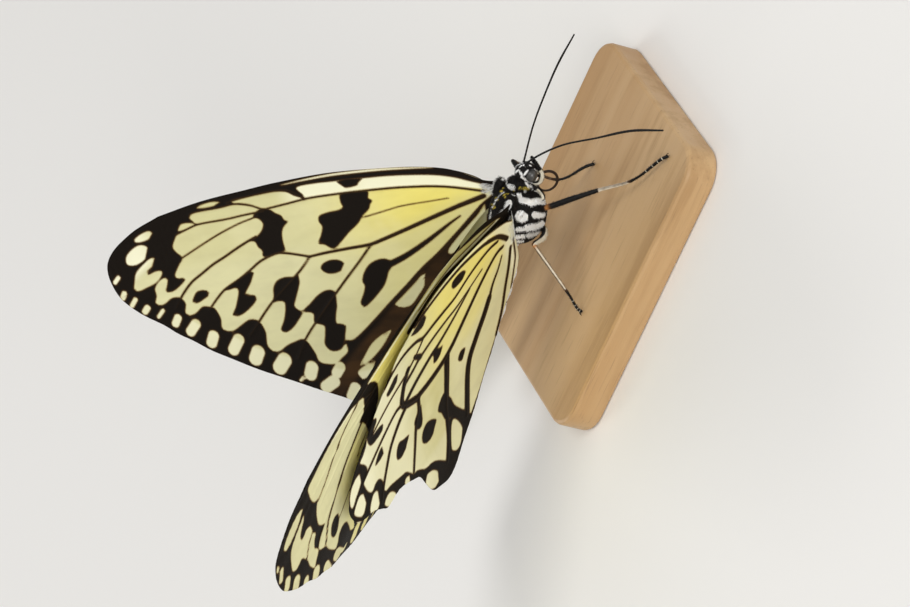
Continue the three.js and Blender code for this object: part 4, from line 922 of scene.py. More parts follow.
def thorax_swell(y):
    """The thorax's size along it: a blunt dome, a little slimmer at both ends."""
    t = share_of(THORAX, y)
    return dome(t) ** 0.64 * (0.93 + 0.07 * np.cos(3 * (t - 0.5)))


def abdomen_swell(y):
    """The abdomen's size along it: slim where it leaves the thorax, narrowing to a rounded end, with a soft
    wave and a narrow groove at each ring."""
    t = share_of(ABDOMEN, y)
    phase = (t * ABDOMEN["rings"]) % 1
    slim = np.minimum(1, (t / 0.24) ** 0.6) * (1 - 0.3 * t) * np.sqrt(np.clip(1 - t**6, 0, 1))
    return slim * (1 - 0.05 * np.cos(2 * np.pi * ABDOMEN["rings"] * t) - 0.045 * np.exp(-(phase / 0.07) ** 2))


def body_profile(y):
    """Half width, half depth, height of the middle and squareness of the ring at each y. The head, neck,
    collar, thorax, waist and abdomen each have their own, less the depth of their coat, and the widest
    wins: sums of eighth powers blend them."""
    front = HEAD["middle"] - HEAD["half_length"]
    head = dome(np.clip((y - front) / (2 * HEAD["half_length"]), 0, 1)) ** 0.85
    neck = NECK_RADIUS * plateau(y, *NECK_SPAN)
    collar = dome(share_of(COLLAR, y)) ** 0.7
    thorax = thorax_swell(y)
    waist = WAIST_RADIUS * WAIST_SHARE * plateau(y, *WAIST_SPAN)
    tail = abdomen_swell(y)
    tail_lift = ABDOMEN["lift"] + ABDOMEN["rise"] * share_of(ABDOMEN, y) * share_of(ABDOMEN, y)
    parts = [(HEAD["half_width"] * head, HEAD["half_depth"] * head, HEAD["lift"], 1.0, COAT_DEPTH),
             (neck, neck, 0.0, 1.0, 0.0),
             (COLLAR["half_width"] * collar, COLLAR["half_depth"] * collar, COLLAR["lift"], 1.0, COAT_DEPTH),
             (THORAX["half_width"] * thorax, THORAX["half_depth"] * thorax, THORAX["lift"], THORAX_SQUARE,
              COAT_DEPTH),
             (waist, waist, ABDOMEN["lift"], 1.0, 0.0),
             (ABDOMEN["half_width"] * tail, ABDOMEN["half_depth"] * tail, tail_lift, 1.0, SCALE_DEPTH)]
    powers = [np.maximum(width - coat, 0) ** 8 for width, _, _, _, coat in parts]
    total = sum(powers) + 1e-12
    deep = sum(np.maximum(depth - coat, 0) ** 8 for _, depth, _, _, coat in parts) ** 0.125
    weights = [power / total for power in powers]
    middle = sum(weight * part[2] for weight, part in zip(weights, parts))
    square = sum(weight * part[3] for weight, part in zip(weights, parts)) + 1 - sum(weights)
    return total ** 0.125, deep, middle, square


def body_surface(y, angle):
    """Points of the skin: at angle 0 on the back, a quarter turn on the left side, half a turn underneath.
    Three grooves, each deepest along a line that shifts with the angle, part the thorax into its plates."""
    wide, deep, middle, square = body_profile(y)
    sine, cosine = np.sin(angle), np.cos(angle)
    groove = np.exp(-((y - 2.75 + 0.9 * np.abs(sine)) / 0.16) ** 2)
    groove += 0.8 * np.exp(-((y + 0.15 - 0.25 * cosine) / 0.14) ** 2) * (np.abs(sine) > 0.55)
    groove += 0.7 * np.exp(-((y + 3.75 - 1.1 * np.abs(sine)) / 0.15) ** 2)
    dent = GROOVE_DEPTH * groove * ((y > -4.6) & (y < 3.8))
    x = (wide - dent) * np.sign(sine) * np.abs(sine) ** square
    z = middle + (deep - dent) * np.sign(cosine) * np.abs(cosine) ** square
    return np.stack(np.broadcast_arrays(x, y, z), -1)


def mark_depth(points, marks):
    """How deep each point lies in the nearest of a list of round-ended marks, the same on both sides."""
    sided = np.array(points, float)
    sided[:, 0] = np.abs(sided[:, 0])
    depth = np.full(len(points), OUTSIDE)
    for start, end, half in marks:
        start, line = np.array(start), np.array(end) - np.array(start)
        share = np.clip((sided - start) @ line / (line @ line), 0, 1)
        depth = np.maximum(depth, half - np.linalg.norm(sided - start - share[:, None] * line, axis=1))
    return depth


def body_white(points):
    """Depth in the white: the marks of the head and thorax, and on the abdomen its sides and underside,
    wavy at each ring, with a dark line at the ring's end and a pale spot above, all from the angle round
    the body."""
    depth = np.minimum(mark_depth(points, WHITE_MARKS), -mark_depth(points, BLACK_MARKS))
    t = share_of(ABDOMEN, points[:, 1])
    angle = np.abs(np.arctan2(points[:, 0], points[:, 2] - ABDOMEN["lift"] - ABDOMEN["rise"] * t**2))
    phase = (t * ABDOMEN["rings"] + 0.5) % 1 - 0.5
    side = (angle - 1.75 + 0.35 * np.cos(2 * np.pi * phase)) * 1.7
    under = np.minimum(side, np.where(angle < 2.75, np.abs(phase) * 3.2 - 0.2, side))
    spot = 0.3 - np.hypot((angle - 1.05) * 1.9, (phase + 0.22) * 3.0)
    return np.maximum(depth, np.where(points[:, 1] > 4.4, np.maximum(under, spot), OUTSIDE))


def body_skin(material):
    """Head, neck, thorax, waist and abdomen as one closed skin of rings, which crowd towards both ends."""
    stations = []
    for start, end, count, crowding in SKIN_STATIONS:
        share = np.arange(count) / count
        if crowding == "front":
            share = 1 - np.cos(share * np.pi / 2)
        elif crowding == "rear":
            share = np.sin(share * np.pi / 2)
        stations.append(start + (end - start) * share)
    y = np.concatenate(stations)[1:]
    angle = np.linspace(-np.pi, np.pi, SKIN_SIDES, endpoint=False)
    grid = body_surface(y[:, None], angle[None, :])
    poles = [[0, SKIN_FRONT + COAT_DEPTH, HEAD["lift"]], [0, SKIN_REAR, ABDOMEN["lift"] + ABDOMEN["rise"]]]
    points = np.concatenate([grid.reshape(-1, 3), poles])
    skin = new_piece("body_skin", placed(points), closed_rings(len(y), SKIN_SIDES), material)
    add_values(skin, white=body_white(points), gold=mark_depth(points, GOLD_MARKS))
    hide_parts("head", "neck", "thorax", "abdomen")


def tufts(name, roots, out, lie, length, width, uv, material, values):
    """Short hairs as closed blades. Each has three points at the root, three at half its length and one at
    its tip, and bends from the way out of the skin towards the way that the coat lies."""
    across = unit(np.cross(out, lie))
    turn = np.array([0, 2 * np.pi / 3, 4 * np.pi / 3])
    ring = np.cos(turn)[None, :, None] * across[:, None] + 0.5 * np.sin(turn)[None, :, None] * out[:, None]
    wide, long = width[:, None, None], length[:, None]
    base = (roots - HAIR_SINK * out)[:, None] + 0.5 * wide * ring
    half = (roots + long * (0.3 * out + 0.42 * lie))[:, None] + 0.42 * wide * ring
    tip = (roots + long * (0.34 * out + 0.94 * lie))[:, None]
    points = np.concatenate([base, half, tip], axis=1).reshape(-1, 3)
    faces = (np.arange(len(roots))[:, None, None] * 7 + HAIR_FACES[None]).reshape(-1, 3)
    piece = new_piece(name, placed(points), faces, material)
    add_uv(piece, "OFBake", (uv[:, None] + HAIR_MAP[None]).reshape(-1, 2))
    along = np.tile([0.0, 0, 0, 0.6, 0.6, 0.6, 1.0], len(roots))
    add_values(piece, along=along, **{key: np.repeat(value, 7) for key, value in values.items()})
    return piece


def along_skin(lie, out):
    """The part of each direction that runs along the skin, at length 1."""
    return unit(lie - (lie * out).sum(1)[:, None] * out)


def body_coat(name, span, count, length, width, material, seed):
    """Hairs over a stretch of the body, evenly by area, which lie towards the tail. The way out of the skin
    is square to two small steps over it."""
    rng = np.random.default_rng(seed)
    y = rng.uniform(span[0], span[1], count * 4)
    angle = rng.uniform(-np.pi, np.pi, count * 4)
    wide, deep, _, _ = body_profile(y)
    kept = rng.uniform(0, WIDEST, count * 4) < (wide + deep) / 2
    y, angle = y[kept][:count], angle[kept][:count]
    roots = body_surface(y, angle)
    along = body_surface(y + SMALL_STEP, angle) - roots
    around = body_surface(y, angle + SMALL_STEP) - roots
    out = unit(np.cross(around, along))
    out *= np.sign((out * (roots - np.stack([0 * y, y, body_profile(y)[2]], -1))).sum(1))[:, None]
    lie = along_skin(unit(along) + rng.normal(0, 0.16, roots.shape), out)
    lie += out * rng.uniform(-0.1, 0.35, len(y))[:, None]
    uv = np.stack([(y + 9) / 38, angle / (2 * np.pi) + 0.5], -1) * 0.99 + 0.005
    sizes = rng.uniform(0.65, 1.2, len(y))
    piece = tufts(name, roots, out, lie, length * sizes, width * sizes, uv, material,
                  dict(white=body_white(roots), gold=mark_depth(roots, GOLD_MARKS),
                       shade=rng.uniform(0, 1, len(y))))


def ball(name, place, radius, material, node, slot):
    """A closed ellipsoid whose poles point left and right, with each point's share of the way to a pole."""
    polar = np.linspace(0, np.pi, BALL_RINGS + 1)[1:-1]
    angle = np.linspace(0, 2 * np.pi, BALL_SIDES, endpoint=False)
    x = np.cos(polar)[:, None] * np.ones(BALL_SIDES)
    y = np.sin(polar)[:, None] * np.cos(angle)
    z = np.sin(polar)[:, None] * np.sin(angle)
    ways = np.concatenate([np.stack([x, y, z], -1).reshape(-1, 3), [[1, 0, 0], [-1, 0, 0]]])
    points = ways * np.array(radius) + place
    piece = new_piece(name, placed(points), closed_rings(len(polar), BALL_SIDES), material)
    add_values(piece, outward=np.abs(ways[:, 0]), white=mark_depth(points, TEGULA_MARKS),
               gold=0 * points[:, 0] - 1)
    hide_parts(node)


def lobe_coat(name, place, radius, count, length, width, material, seed):
    """Hairs over an ellipsoid, evenly by direction, which lie towards the tail."""
    rng = np.random.default_rng(seed)
    ways = unit(rng.normal(0, 1, (count, 3)))
    roots = ways * np.array(radius) + place
    out = unit(ways / np.array(radius))
    lie = along_skin(np.array([0.0, 1.0, 0.1]) + rng.normal(0, 0.25, out.shape), out)
    lie = lie + out * rng.uniform(0, 0.5, count)[:, None]
    uv = np.stack([np.arctan2(ways[:, 2], ways[:, 1]) / (2 * np.pi) + 0.5, ways[:, 0] / 2 + 0.5], -1)
    sizes = rng.uniform(0.65, 1.2, count)
    piece = tufts(name, roots, out, lie, length * sizes, width * sizes, uv * 0.99 + 0.005, material,
                  dict(white=mark_depth(roots, TEGULA_MARKS), gold=0 * sizes - 1,
                       shade=rng.uniform(0, 1, count)))


def root_down(name, side, hind, count, material, seed):
    """White down at a wing's root: upright on a forewing's upper face, outwards on a hindwing's lower one."""
    rng = np.random.default_rng(seed)
    held = HELD[side]
    a, b = rng.uniform(-1.2, 2.2 if hind else 1.0, count), rng.uniform(0, 1, count)
    b = -3.4 + 3.9 * b - 0.1 * a if hind else -0.4 + 1.4 * b + 0.3 * a
    axis_a, axis_b, axis_up = wing_axes(held)
    face = -1.0 if hind else 1.0
    height = wing_height(held, np.stack([a, b], -1), hind) + face * MEMBRANE / 2
    mirror = np.array([SIDES[side], 1.0, 1.0])
    roots = np.array(held["root"]) + a[:, None] * axis_a + b[:, None] * axis_b + height[:, None] * axis_up
    out = np.repeat((face * axis_up * mirror)[None], count, 0)
    lie = unit((axis_a + rng.normal(0, 0.3, (count, 1)) * axis_b) * mirror)
    sizes = rng.uniform(0.5, 1.1, count) * (1 - 0.2 * np.clip(a, 0, 2))
    uv = np.stack([(a + 3) / 40, (b + 6) / 40], -1)
    bright = np.where(rng.uniform(0, 1, count) < 0.85, 0.5, -1.0)
    piece = tufts(name, roots * mirror, out, lie + 0.5 * out, 0.75 * sizes, 0.07 * sizes, uv, material,
                  dict(white=bright, gold=0 * sizes - 1, shade=rng.uniform(0, 1, count)))


# ---- Limbs -------------------------------------------------------------------------------------------------


def limb_points(points):
    """Points given as right, forward and up towards the back, as body points."""
    return np.asarray(points, float) * np.array([-1.0, -1.0, 1.0])


def limb_course(points, steps):
    """A smooth course of even steps through a limb's points."""
    course = smooth_path(limb_points(points), LIMB_STEPS)
    return even_stretch(course, 0, len(course) - 1, steps)


def spread(radii, steps):
    """A radius for each step of a course, from a few that are spread evenly along it."""
    return np.interp(np.linspace(0, 1, steps), np.linspace(0, 1, len(radii)), radii)


def no_tint(along, around):
    """Nought everywhere."""
    return 0 * along


def limb(name, path, radius, looks, node, hairs=None, pale=no_tint, brown=no_tint, sides=16):
    """A limb as a closed tube with its hairs. `pale` and `brown` give the cream and the orange brown of its
    material from the share of the way along it and the sine of the angle round it, 1 on the back."""
    points, faces, along, around = tube(path, radius, sides)
    around = np.sin(around)
    piece = new_piece(name, placed(points), faces, looks["limb"])
    add_values(piece, pale=pale(along, around), brown=brown(along, around))
    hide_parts(node)
    if hairs:
        coat = limb_hairs(name + "_hair", path, radius, looks["hair"], pale, brown, *hairs)


def limb_hairs(name, path, radius, material, pale, brown, count, length, width, seed):
    """Hairs or spines round a limb, which lean towards its end."""
    rng = np.random.default_rng(seed)
    share = rng.uniform(0.02, 0.98, count)
    angle = rng.uniform(0, 2 * np.pi, count)
    place = share * (len(path) - 1)
    low = np.minimum(place.astype(int), len(path) - 2)
    part = (place - low)[:, None]
    heading = unit(path[low + 1] - path[low])
    side = unit(np.cross(heading, UPWARDS))
    over = np.cross(side, heading)
    out = np.cos(angle)[:, None] * side + np.sin(angle)[:, None] * over
    thick = np.interp(share, np.linspace(0, 1, len(radius)), radius)
    roots = path[low] * (1 - part) + path[low + 1] * part + out * (thick - 0.02)[:, None]
    lie = unit(heading + out * rng.uniform(0.1, 0.5, count)[:, None] + rng.normal(0, 0.1, out.shape))
    sizes = rng.uniform(0.6, 1.2, count)
    uv = np.stack([share, angle / (2 * np.pi)], -1) * 0.98 + 0.01
    around = np.sin(angle)
    return tufts(name, roots, out, lie, length * sizes, width * sizes, uv, material,
                 dict(pale=pale(share, around), brown=brown(share, around), shade=rng.uniform(0, 1, count)))


def bump_at(share, place, width):
    """1 at `place`, falling to 0 over a few widths to either side."""
    return np.exp(-((share - place) / width) ** 2)


def nearest_share(path, point):
    """How far along a path, from 0 to 1, its nearest place to a limb point is."""
    return np.argmin(np.linalg.norm(path - limb_points(point), axis=1)) / (len(path) - 1)


def thigh(name, hip, knee, looks):
    """Hip and thigh: narrow at the orange joint under the hip and thickest in the middle, where a hind
    thigh sags. The hip is cream, and so is the underside."""
    hind = "hind" in name
    sag = THIGH_SAG if hind else 0.0
    root = (hip[0] * 0.6, hip[1] * 0.8, hip[2] + 1.6)
    middle = [(h + k) / 2 for h, k in zip(hip, knee)]
    path = limb_course([root, hip, (middle[0], middle[1] - 0.15 * sag, middle[2] - sag), knee], THIGH_STEPS)
    share = np.linspace(0, 1, THIGH_STEPS)
    joint = nearest_share(path, hip)
    radius = np.interp(share, [0, joint, joint + 0.06, 1], [0.6, 0.46, 0.42, 0.3])
    radius = radius * (1 - 0.2 * bump_at(share, joint, 0.03)) * (1 + 0.16 * bump_at(share, 0.55, 0.25))

    def pale(along, around):
        coxa = eased(joint - 0.01 - along, 0.04)
        under = eased(-around + 0.05, 0.35) if hind else 0.55 * eased(-around - 0.72, 0.2)
        return np.maximum(coxa * eased(0.8 - around, 0.3), under * (along > joint + 0.05))

    def brown(along, around):
        return (0.9 if name == "mid_right" else 0.0) * bump_at(along, joint + 0.02, 0.035)

    limb(f"leg_{name}_thigh", path, radius, looks, f"leg_{name}_femur", (900, 0.26, 0.045, 11), pale, brown)


def shin(name, knee, ankle, toe, looks):
    """Shin and foot: the foot lies almost level on the base and narrows at its four joints, which lie
    closer together towards its end. Returns its course."""
    hind = "hind" in name
    sole = (toe[0], toe[1], (-SOLE_DROP - toe[1] * math.sin(PITCH)) / math.cos(PITCH) - 0.02)
    heel = [a + (s - a) * 0.85 for a, s in zip(ankle, sole)]
    path = limb_course([knee, ankle, (heel[0], heel[1], heel[2] + 0.25), sole], SHIN_STEPS)
    share = np.linspace(0, 1, SHIN_STEPS)
    bend = nearest_share(path, ankle)

    def foot_joint(along):
        along = np.clip((along - bend) / (1 - bend), 0, 1)
        return sum(bump_at(along, place, 0.012) for place in (0.4, 0.6, 0.76, 0.88)) * (along > 0)

    def pale(along, around):
        bare = eased(bend - 0.02 - along, 0.05) * eased(along - 0.015, 0.01)
        # painted shade: the left middle leg lies in shade on the body's far side, so its shin gets only a
        # little cream and no pale foot joints
        if name == "mid_left":
            return 0.3 * bare
        sides = (0.3 if hind else 0.45) + 0.45 * eased(0.8 - np.abs(around), 0.5)
        return np.maximum(bare * sides, 0.75 * foot_joint(along))

    def brown(along, around):
        return 0.12 * eased(bend - along, 0.05) + (0.85 * bump_at(along, 0.02, 0.03) if hind else 0)

    places = [0, 0.05, bend - 0.03, bend, bend + 0.05, 1]
    radius = np.interp(share, places, [0.3, 0.24, 0.2, 0.24, 0.17, 0.25]) * (1 - 0.22 * foot_joint(share))
    limb(f"leg_{name}_shin", path, radius, looks, f"leg_{name}_tibia", (520, 0.3, 0.04, 12), pale, brown)
    return path


def claws(name, path, looks):
    """The foot's two claws: short hooks that part to either side of its heading and turn down."""
    heading = path[-1] - path[-8]
    heading[2] = 0
    heading /= np.linalg.norm(heading)
    across = np.array([-heading[1], heading[0], 0])
    for number, way in enumerate((-1, 1)):
        start = path[-1] + across * 0.1 * way
        claw = np.array([start, start + heading * 0.32 + across * 0.1 * way + [0, 0, 0.08],
                         start + heading * 0.6 + across * 0.12 * way - [0, 0, 0.1]])
        course = smooth_path(claw, CLAW_STEPS)
        points, faces, along, _ = tube(course, np.linspace(0.09, 0.03, len(course)), CLAW_SIDES)
        piece = new_piece(f"leg_{name}_claw_{number + 1}", placed(points), faces, looks["limb"])
        add_values(piece, pale=0 * along, brown=0 * along)


# ---- Materials ---------------------------------------------------------------------------------------------


def linear(hex_colour):
    """A colour written as RRGGBB, as the linear numbers that a shader takes."""
    value = [int(hex_colour[k:k + 2], 16) / 255 for k in (0, 2, 4)]
    return tuple(v / 12.92 if v <= 0.04045 else ((v + 0.055) / 1.055) ** 2.4 for v in value) + (1.0,)


class Nodes:
    """Short calls that add nodes to one tree and join them."""

    def __init__(self, tree):
        self.tree = tree

    def add(self, kind, **settings):
        """A node of a kind, with its settings."""
        node = self.tree.nodes.new(kind)
        for key, value in settings.items():
            setattr(node, key, value)
        return node

    def feed(self, node, **inputs):
        """Joins outputs or sets constants on a node's inputs: i0, i1 and so on by number, others by name."""
        for key, value in inputs.items():
            numbered = key[0] == "i" and key[1:].isdigit()
            socket = node.inputs[int(key[1:]) if numbered else key.replace("_", " ")]
            if isinstance(value, bpy.types.NodeSocket):
                self.tree.links.new(value, socket)
            else:
                socket.default_value = value
        return node

    def value(self, name):
        """A number that each vertex carries."""
        return self.add("ShaderNodeAttribute", attribute_name=name).outputs["Fac"]

    def place(self):
        """The point's place in the frame."""
        return self.add("ShaderNodeTexCoord").outputs["Object"]

    def math(self, operation, first, second):
        """The result of one operation on two numbers."""
        return self.feed(self.add("ShaderNodeMath", operation=operation), i0=first, i1=second).outputs[0]

    def mask(self, source, low, high, to_low=0.0, to_high=1.0):
        """An eased step of the source from `low` to `high`."""
        node = self.add("ShaderNodeMapRange", interpolation_type="SMOOTHSTEP")
        return self.feed(node, Value=source, From_Min=low, From_Max=high, To_Min=to_low,
                         To_Max=to_high).outputs[0]

    def mix(self, factor, first, second):
        """A colour between two."""
        node = self.add("ShaderNodeMix", data_type="RGBA")
        return self.feed(node, i0=factor, i6=first, i7=second).outputs[2]

    def noise(self, place, scale, detail=2.0, rough=0.5):
        """Cloudy noise from 0 to 1."""
        node = self.add("ShaderNodeTexNoise")
        return self.feed(node, Vector=place, Scale=scale, Detail=detail, Roughness=rough).outputs["Fac"]

    def bump(self, height, distance, strength, **normal):
        """The normal of a relief, over another one if it is given."""
        node = self.feed(self.add("ShaderNodeBump"), Height=height, Distance=distance, Strength=strength)
        return self.feed(node, **normal).outputs["Normal"]

    def stretched(self, place, scale):
        """A place scaled along each axis."""
        return self.feed(self.add("ShaderNodeMapping"), Vector=place, Scale=scale).outputs["Vector"]

    def group(self, tree, **inputs):
        """A node group with its own values: its outputs."""
        return self.feed(self.add("ShaderNodeGroup", node_tree=tree), **inputs).outputs


def new_group(name, inputs, outputs):
    """A node group with number inputs and the named outputs: the group, its calls, its inputs and end."""
    tree = bpy.data.node_groups.new(name, "ShaderNodeTree")
    for label in inputs:
        tree.interface.new_socket(name=label, in_out="INPUT", socket_type="NodeSocketFloat")
    for label, kind in outputs.items():
        tree.interface.new_socket(name=label, in_out="OUTPUT", socket_type=kind)
    n = Nodes(tree)
    return tree, n, n.add("NodeGroupInput").outputs, n.add("NodeGroupOutput")


def ragged_edge():
    """A mark with a ragged edge: its depth, shifted by a noise times Amount, and the mask that rises from
    Low to High in it."""
    tree, n, given, end = new_group("ragged_edge", ["Depth", "Noise", "Amount", "Low", "High"],
                                    {"Depth": "NodeSocketFloat", "Mask": "NodeSocketFloat"})
    shift = n.math("MULTIPLY", n.math("SUBTRACT", given["Noise"], 0.5), given["Amount"])
    depth = n.math("ADD", given["Depth"], shift)
    n.feed(end, Depth=depth, Mask=n.mask(depth, given["Low"], given["High"]))
    return tree


def fine_relief():
    """A fine noise of a Scale over the whole surface, and the normal of its relief."""
    tree, n, given, end = new_group("fine_relief", ["Scale", "Distance", "Strength"],
                                    {"Noise": "NodeSocketFloat", "Normal": "NodeSocketVector"})
    fine = n.noise(n.place(), given["Scale"])
    n.feed(end, Noise=fine, Normal=n.bump(fine, given["Distance"], given["Strength"]))
    return tree


def new_material(name):
    """An empty material with its shader: returns the material, its nodes and the shader."""
    material = bpy.data.materials.new(name)
    material.use_nodes = True
    material.node_tree.nodes.clear()
    n = Nodes(material.node_tree)
    shader = n.add("ShaderNodeBsdfPrincipled")
    n.feed(n.add("ShaderNodeOutputMaterial"), Surface=shader.outputs[0])
    return material, n, shader


def wing_material(edge):
    """Pale and dark scales: the vertices' depth in the dark, roughened by noise at the scales' size,
    chooses between them. Pale scales are cream, with stretches of yellow, olive and white, and a brown
    fringe beside the dark; on the hindwings the olive is painted shade. The forewing's rear edge is brown,
    and so is the middle of a vein, partly its own colour and partly a painted highlight along its ridge."""
    material, n, shader = new_material("wing_scales")
    plan = n.add("ShaderNodeUVMap", uv_map="plan").outputs[0]
    scales = n.noise(n.stretched(plan, (420, 900, 1)), 1.0, 1.0)
    patches = n.noise(n.place(), 160, 3.0)
    broad = n.noise(n.stretched(plan, (9, 30, 1)), 1.0, 3.0)
    ragged = n.group(edge, Depth=n.value("ink"), Noise=scales, Amount=0.3, Low=-0.05, High=0.06)
    depth, dark = ragged["Depth"], ragged["Mask"]
    pale = n.mix(n.mask(broad, 0.35, 0.75, 0.0, 0.45), linear("dbd6a6"), linear("c8c297"))
    # olive: on the hindwings this is painted shade in two soft patches
    pale = n.mix(n.value("olive"), pale, linear("c2b973"))
    pale = n.mix(n.value("yellow"), pale, n.mix(broad, linear("f4e67e"), linear("e3d470")))
    pale = n.mix(n.value("white"), pale, linear("f3f0cf"))
    pale = n.mix(n.mask(patches, 0.42, 0.75, 0.0, 0.3), pale, linear("e8e2b4"))
    pale = n.mix(n.math("MULTIPLY", n.mask(depth, -0.22, 0.02), 0.75), pale, linear("86652a"))
    ink = n.mix(n.mask(depth, 0.0, 0.3), linear("3d2810"), linear("120c06"))
    # partly painted highlight: the middle of a vein turns lighter brown along its ridge; the brown is partly
    # the vein's own colour
    ink = n.mix(n.mask(n.value("ridge"), 0.35, 0.9, 0.0, 0.6), ink, linear("30200c"))
    ink = n.mix(n.mask(scales, 0.5, 0.85, 0.0, 0.3), ink, linear("38281a"))
    rust = n.math("MULTIPLY", n.value("rust"), n.mask(broad, 0.3, 0.7, 0.45, 0.95))
    ink = n.mix(rust, ink, linear("422c14"))
    n.feed(shader, Base_Color=n.mix(dark, pale, ink), Roughness=n.mask(dark, 0.0, 1.0, 0.7, 0.65),
           Normal=n.bump(scales, 0.00003, 0.6, Normal=n.bump(patches, 0.00012, 0.4)), Specular_IOR_Level=0.1)
    return material


def body_material(name, hair, edge, relief):
    """Black down with white and gold marks, whose edges are ragged at the size of a hair. Each hair has a
    shade of its own."""
    material, n, shader = new_material(name)
    fine = n.group(relief, Scale=5200.0, Distance=0.00006, Strength=0.7)
    rough = n.noise(n.place(), 1400)
    white = n.group(edge, Depth=n.value("white"), Noise=rough, Amount=0.28, Low=-0.04, High=0.05)["Mask"]
    gold = n.group(edge, Depth=n.value("gold"), Noise=rough, Amount=0.168, Low=-0.03, High=0.04)["Mask"]
    if hair:
        shade = n.value("shade")
        black = n.mix(n.mask(shade, 0.5, 1.0), linear("0d0b0b"), linear("2e2723"))
        pale = n.mix(shade, linear("f4f2ea"), linear("ffffff"))
    else:
        black = n.mix(n.mask(fine["Noise"], 0.4, 0.8), linear("0d0b0c"), linear("241f1c"))
        pale = n.mix(n.mask(rough, 0.3, 0.7), linear("f6f3ec"), linear("ffffff"))
    colour = n.mix(gold, n.mix(white, black, pale), linear("e8cf52"))
    n.feed(shader, Base_Color=colour, Normal=fine["Normal"], Roughness=0.62, Specular_IOR_Level=0.2)
    return material


def limb_material(name, roughness, edge, relief):
    """Black horn with cream and brown stretches."""
    material, n, shader = new_material(name)
    fine = n.group(relief, Scale=4200.0, Distance=0.00005, Strength=0.5)
    rough = n.noise(n.place(), 900)
    pale = n.group(edge, Depth=n.value("pale"), Noise=rough, Amount=0.4, Low=0.25, High=0.7)["Mask"]
    black = n.mix(n.mask(fine["Noise"], 0.4, 0.8), linear("060505"), linear("15110e"))
    colour = n.mix(pale, black, n.mix(rough, linear("cdc4ac"), linear("ebe6d6")))
    colour = n.mix(n.value("brown"), colour, linear("b0743c"))
    n.feed(shader, Base_Color=colour, Normal=fine["Normal"], Roughness=roughness, Specular_IOR_Level=0.25)
    return material


def eye_material():
    """A dark grey compound eye: tiny bumps in rows, lighter over the middle, black at its rim. The black ring
    where it meets the head is its own colour; the darkening from the middle out to it is painted shade.
    """
    material, n, shader = new_material("compound_eye")
    facets = n.add("ShaderNodeTexVoronoi", feature="DISTANCE_TO_EDGE")
    n.feed(facets, Vector=n.place(), Scale=9500.0)
    # partly painted shade: grey over the middle darkens towards the rim; the black ring at the rim is the
    # eye's own
    colour = n.mix(n.mask(n.value("outward"), 0.08, 0.4), linear("0b0a0b"), linear("383633"))
    colour = n.mix(n.mask(n.noise(n.place(), 900), 0.45, 0.7, 0.0, 0.5), colour, linear("2b2a2a"))
    n.feed(shader, Base_Color=colour, Normal=n.bump(facets.outputs["Distance"], 0.00002, 0.6), Roughness=0.3,
           Coat_Weight=0.25, Coat_Roughness=0.12)
    return material


def wood_material():
    """Plain pale wood: long stretched noise as grain, with fine pores along it."""
    material, n, shader = new_material("pale_wood")
    place = n.place()
    grain = n.noise(n.stretched(place, (300, 22, 300)), 1.0, 4.0, 0.6)
    rings = n.noise(n.stretched(place, (90, 5, 90)), 1.0)
    pores = n.noise(n.stretched(place, (2600, 120, 2600)), 1.0)
    colour = n.mix(n.mask(rings, 0.35, 0.65), linear("c9a678"), linear("b58d5c"))
    colour = n.mix(n.mask(grain, 0.45, 0.7, 0.0, 0.5), colour, linear("9c7546"))
    colour = n.mix(n.mask(pores, 0.6, 0.75, 0.0, 0.35), colour, linear("7c5a35"))
    n.feed(shader, Base_Color=colour, Roughness=n.mask(grain, 0.3, 0.7, 0.42, 0.58),
           Normal=n.bump(pores, 0.00008, 0.4, Normal=n.bump(grain, 0.0001, 0.3)), Coat_Weight=0.12,
           Coat_Roughness=0.35)
    return material


def floor_material():
    """A pale, faintly clouded floor."""
    material, n, shader = new_material("pale_floor")
    colour = n.mix(n.noise(n.place(), 3.0), linear("eeece8"), linear("f4f2ee"))
    n.feed(shader, Base_Color=colour, Roughness=0.8)
    return material


# ---- Making ------------------------------------------------------------------------------------------------


def make_wings(look):
    """The four wings. The right hindwing's margin has a nick, and its front edge shows a little more."""
    for side in SIDES:
        hind_tracks = list(HIND_TRACKS)
        if side == "right":
            cell, points = HIND_TRACKS[WORN_TRACK]
            hind_tracks[WORN_TRACK] = (cell, points[:-1] + [WORN_END])
            hind_tracks[0] = (HIND_TRACKS[0][0], SHOWN_FRONT)
        wing(f"forewing_{side}", FORE_TRACKS, FORE_VEINS, fore_ink, False, look)
        wing(f"hindwing_{side}", hind_tracks, HIND_VEINS, hind_ink, True, look)


def make_body(skin_look, hair_look):
    """The skin and its coats: where along the body, how many hairs, and their length and width."""
    body_skin(skin_look)
    body_coat("head_hair", (-8.5, -6.1), 3600, 0.22, 0.05, hair_look, 1)
    body_coat("collar_hair", (-6.3, -3.9), 3400, 0.42, 0.06, hair_look, 2)
    body_coat("thorax_hair", (-4.3, 4.0), 15000, 0.36, 0.07, hair_look, 3)
    body_coat("abdomen_scales", (3.8, 27.6), 15000, 0.22, 0.11, hair_look, 4)


def palp_pale(along, around):
    """Cream except at the tip, on the back and underneath."""
    return eased(0.7 - along, 0.08) * eased(0.95 - np.abs(around), 0.15)


def foreleg_pale(along, around):
    """Cream on the back and the sides, except at the tip."""
    return eased(around + 0.35, 0.3) * (along < 0.85)


